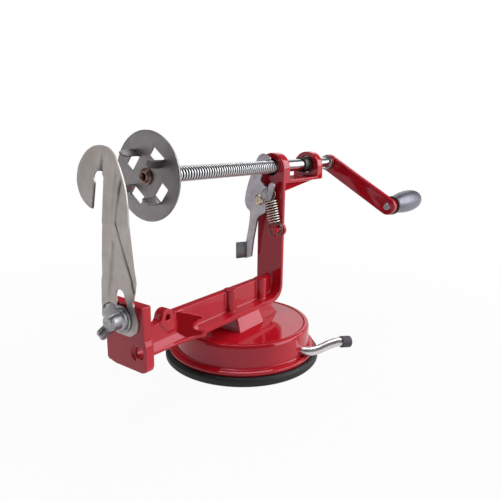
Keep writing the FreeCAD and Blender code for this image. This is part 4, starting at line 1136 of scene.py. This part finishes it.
def blade_place(u, v):
    """The blade's front side: flat on the end plate, leaning forward, upright round the keyhole, with the
    lobe beside the open slot leaning a little more."""
    foot_x = PLATE_FACE - 1.0
    x = foot_x + (HEAD_FACE - foot_x) * max(0.0, min(1.0, (v - 86.0) / 35.0))
    z = SHAFT[1]
    share = max(0.0, min(1.0, (u - 0.3 - max(0.0, z - 2.0 - v) * 0.15) / 4.0 + 0.5))
    if z - 24 < v < z + 15:
        x -= (z + 15.0 - v) * math.tan(math.radians(3.0)) * share * share * (3 - 2 * share)
    for line in PRESSED:
        x += press(u, v, line)
    return (x, u, v)


class CUTTER_OT_blade(bpy.types.Operator):
    """Adds the slotted slicing blade with its pressed lines"""
    bl_idname = "cutter.blade"
    bl_label = "Slicing blade"

    def execute(self, context):
        _, sizes = settings()
        top = BOLT[1] + 15.8
        slot = (circle((1.5, top), 3.75, 15, 0, 180) + [(-3.0, top - 1.5), (-3.9, top - 3.0), (-4.1, top - 4.6)]
                + circle((-0.2, BOLT[1] - 2.0), 4.0, 15, 180, 180))
        folds = lips(LONG_CREASE) + lips(RIDGE) + lips(SHALLOW) + lips(WEDGE)
        part = pressed_sheet(blade_outline(), [slot], sizes.sheet_grid / MM, blade_place, BLADE_T, folds)
        blade = make("slicing_blade_sheet", part)
        # painted shade along the pressed lines, the crease's foot and the lobe's sheared edge
        shade = blade.data.attributes.new("pressed", "FLOAT", "POINT")
        for i, vertex in enumerate(blade.data.vertices):
            shade.data[i].value = darkness(vertex.co.y / MM, vertex.co.z / MM)
        dress(blade, blade_steel(), "blade", ["slicing_blade"], 45)
        return {"FINISHED"}


class CUTTER_OT_clamp(bpy.types.Operator):
    """Adds the washer and the wing nut on the blade's bolt"""
    bl_idname = "cutter.clamp"
    bl_label = "Blade clamp"

    def execute(self, context):
        y, z = BOLT
        back = PLATE_FACE - 1.3
        ring = rounded([(back - 1.2, 5.4), (back, 5.4), (back, 8.6, 0.3), (back - 1.2, 8.6, 0.6)], 0.1, 4)
        washer = make("clamp_disc", turned(ring + ring[:1], "X", (y + 1.8, z + 1.7), 64))
        dress(washer, zinc_plate(), "clamp", ["clamp_washer"], 45)
        x1 = PLATE_FACE - 2.6
        tip = x1 - 12.3
        hub = turned([(tip + 2.9, 0.0), (tip + 2.4, 1.4), (tip + 2.2, 2.6), (tip + 2.8, 4.2), (tip + 4.6, 5.0),
                      (x1 - 2.4, 5.4), (x1 - 1.8, 6.8), (x1, 7.0), (x1, 0.0)], "X", (0, 0), 40)
        upper = [(x1 - 1.6, 3.4), (tip + 4.0, 2.6), (tip + 1.2, 3.8), (tip, 6.2), (tip, 10.4), (tip + 1.4, 12.4),
                 (tip + 4.6, 12.8), (tip + 6.8, 11.6), (x1 - 3.6, 8.0), (x1 - 1.6, 6.2)]
        lower = [(x1 - 1.6, 3.4), (tip + 4.6, 2.8), (tip + 1.8, 5.0), (tip, 7.6), (tip + 0.6, 10.4, 0.4),
                 (tip + 3.0, 11.8, 0.4), (tip + 5.6, 10.2), (x1 - 3.4, 7.0), (x1 - 1.6, 5.8)]
        wings = []
        for line, low, high, turn in ((upper, -1.3, 1.3, 5.6), (lower, -2.5, -0.4, 212.0), (lower, 0.4, 2.5, 212.0)):
            wing = prism(rounded(line, 1.6, 4), low, high, "Y")
            wings.append(turned_about(wing, Matrix.Rotation(math.radians(turn), 4, "X")))
        nut = cast_skin(make("wing_nut_body", together(hub, *wings)), 0.25 * MM, 3)
        nut.data.transform(Matrix.Translation((0, (y + 1.0) * MM, (z + 2.1) * MM)))
        dress(nut, zinc_plate(), "wing", ["wing_nut"], 60)
        return {"FINISHED"}


# ---------------------------------------------------------------------------
# Small hardware that keeps its frame shape
# ---------------------------------------------------------------------------
class CUTTER_OT_hardware(bpy.types.Operator):
    """Finishes the bolts, washers, bush and clips"""
    bl_idname = "cutter.hardware"
    bl_label = "Small hardware"

    def execute(self, context):
        for node in ("frame_screws", "suction_stem", "lever_clip", "thrust_washer", "clamp_bolt"):
            refinish(node, zinc_plate())
        bush = rounded([(81.0, 5.1), (81.0, 6.1, 0.4), (84.4, 6.6, 0.4), (94.6, 6.6), (94.6, 5.1)], 0.3, 4)
        bush = make("rear_bush_sleeve", turned(bush + bush[:1], "X", SHAFT, 64))
        dress(bush, black_nylon(), "frame", ["rear_bush"], 45)
        return {"FINISHED"}


# ---------------------------------------------------------------------------
# Stage
# ---------------------------------------------------------------------------
EYE = (-0.29455, -0.22138, 0.16839)
GAZE = (53.86, 13.17, -0.74)    # degrees of yaw from +Y, pitch below level and roll
PICTURE = 500                   # width of the picture, in pixels
FOCAL = 495.83                  # focal length, in pixels
SHIFT = (0.67, 1.08)            # of the lens, in pixels
SENSOR = 36.0


def soft_box(name, at, aim, size, power, roll=0.0):
    """A rectangular lamp at a place, facing another, rolled about the line between them."""
    light = bpy.data.lights.new(name, "AREA")
    light.shape = "RECTANGLE"
    light.size, light.size_y = size
    light.energy = power
    obj = bpy.data.objects.new(name, light)
    obj.location = at
    turn = (Vector(aim) - Vector(at)).to_track_quat("-Z", "Y").to_matrix()
    obj.rotation_euler = (turn @ Matrix.Rotation(math.radians(roll), 3, "Z")).to_euler()
    bpy.context.scene.collection.objects.link(obj)


class CUTTER_OT_stage(bpy.types.Operator):
    """Adds the floor, the lights and the camera"""
    bl_idname = "cutter.stage"
    bl_label = "Stage"

    def execute(self, context):
        scene = context.scene
        scene.view_settings.view_transform = "Standard"
        colours, _ = settings()
        size = 6000.0
        floor = make("studio_floor", ([(-size, -size, 0), (size, -size, 0), (size, size, 0), (-size, size, 0)],
                                      [(0, 1, 2, 3)]))
        material, tree = begin("pale floor paper")
        path = add(tree, "ShaderNodeLightPath")
        where = add(tree, "ShaderNodeTexCoord").outputs["Object"]
        reach = add(tree, "ShaderNodeVectorMath", {0: where}, operation="LENGTH").outputs["Value"]
        near = spread(tree, reach, 0.1, 0.5, 0.94, 1.0)
        seen = add(tree, "ShaderNodeMath", {0: path.outputs["Is Camera Ray"], 1: near}, operation="MULTIPLY")
        mirrored = add(tree, "ShaderNodeMath", {0: path.outputs["Is Glossy Ray"], 1: 0.72}, operation="MULTIPLY")
        share = add(tree, "ShaderNodeMath", {0: seen.outputs[0], 1: mirrored.outputs[0]},
                    operation="MAXIMUM").outputs[0]
        paper = blend_colours(tree, spots(tree, 40.0, 3.0), tuple(colours.floor), linear("#CECECE"))
        matt = add(tree, "ShaderNodeBsdfDiffuse", {"Color": paper}).outputs[0]
        glow = add(tree, "ShaderNodeEmission", {"Color": (1, 1, 1, 1), "Strength": 1.0}).outputs[0]
        mix = add(tree, "ShaderNodeMixShader", {0: share, 1: matt, 2: glow}).outputs[0]
        add(tree, "ShaderNodeOutputMaterial", {"Surface": mix})
        floor.data.materials.append(material)

        world = bpy.data.worlds.new("studio")
        scene.world = world
        world.use_nodes = True
        tree = world.node_tree
        tree.nodes.clear()
        path = add(tree, "ShaderNodeLightPath")
        seen = add(tree, "ShaderNodeMath", {0: path.outputs["Is Camera Ray"], 1: path.outputs["Is Transmission Ray"]},
                   operation="MAXIMUM").outputs[0]
        white = add(tree, "ShaderNodeBackground", {"Color": (1, 1, 1, 1), "Strength": 1.0}).outputs[0]
        dim = add(tree, "ShaderNodeBackground", {"Color": (0.95, 0.97, 1.0, 1), "Strength": 0.12}).outputs[0]
        both = add(tree, "ShaderNodeMixShader", {0: seen, 1: dim, 2: white}).outputs[0]
        add(tree, "ShaderNodeOutputWorld", {"Surface": both})

        soft_box("key", (1.0, -1.5, 0.9), (0, 0, 0.08), (2.6, 1.7), 46)
        soft_box("top", (0.1, 0.2, 1.6), (0, 0, 0.05), (1.4, 1.0), 14)
        soft_box("left", (-1.5, 1.0, 0.35), (0, 0, 0.08), (1.8, 1.0), 3.4)
        # a card whose left edge stands at the end of the drum's bright half
        soft_box("card", (1.51, 0.54, 0.6), (0, 0, 0.03), (0.75, 0.6), 1.6, 10.0)

        lens = bpy.data.cameras.new("camera")
        eye = bpy.data.objects.new("camera", lens)
        scene.collection.objects.link(eye)
        yaw, pitch, roll = (math.radians(a) for a in GAZE)
        ahead = Vector((math.cos(pitch) * math.sin(yaw), math.cos(pitch) * math.cos(yaw), -math.sin(pitch)))
        right = Vector((math.cos(yaw), -math.sin(yaw), 0))
        up = right.cross(ahead)
        tilted = Matrix.Rotation(roll, 3, ahead)
        right, up = tilted @ right, tilted @ up
        turn = Matrix((right, up, -ahead)).transposed().to_4x4()
        eye.matrix_world = Matrix.Translation(EYE) @ turn
        lens.sensor_width = SENSOR
        lens.lens = SENSOR * FOCAL / PICTURE
        lens.shift_x, lens.shift_y = SHIFT[0] / PICTURE, SHIFT[1] / PICTURE
        lens.clip_start, lens.clip_end = 0.01, 50.0
        scene.camera = eye
        return {"FINISHED"}


# ---------------------------------------------------------------------------
# Panel and registration
# ---------------------------------------------------------------------------
OPERATORS = (CUTTER_OT_stage, CUTTER_OT_castings, CUTTER_OT_foot, CUTTER_OT_lever, CUTTER_OT_feed_screw,
             CUTTER_OT_fork, CUTTER_OT_crank, CUTTER_OT_handle, CUTTER_OT_latch, CUTTER_OT_latch_spring,
             CUTTER_OT_blade, CUTTER_OT_clamp, CUTTER_OT_hardware)


class CUTTER_PT_panel(bpy.types.Panel):
    """Lists the cutter's pieces, sizes and colours"""
    bl_label = "Potato cutter"
    bl_idname = "CUTTER_PT_panel"
    bl_space_type = "VIEW_3D"
    bl_region_type = "UI"
    bl_category = "Cutter"

    def draw(self, context):
        for operator in OPERATORS:
            self.layout.operator(operator.bl_idname)
        for group in (context.scene.cutter_sizes, context.scene.cutter_colours):
            box = self.layout.box()
            for name in group.__annotations__:
                box.prop(group, name)


CLASSES = (CutterColours, CutterSizes, *OPERATORS, CUTTER_PT_panel)


def register():
    for item in CLASSES:
        bpy.utils.register_class(item)
    bpy.types.Scene.cutter_colours = bpy.props.PointerProperty(type=CutterColours)
    bpy.types.Scene.cutter_sizes = bpy.props.PointerProperty(type=CutterSizes)


def unregister():
    del bpy.types.Scene.cutter_sizes
    del bpy.types.Scene.cutter_colours
    for item in reversed(CLASSES):
        bpy.utils.unregister_class(item)


def main():
    register()
    for operator in OPERATORS:
        family, name = operator.bl_idname.split(".")
        getattr(getattr(bpy.ops, family), name)()


if __name__ == "__main__":
    main()
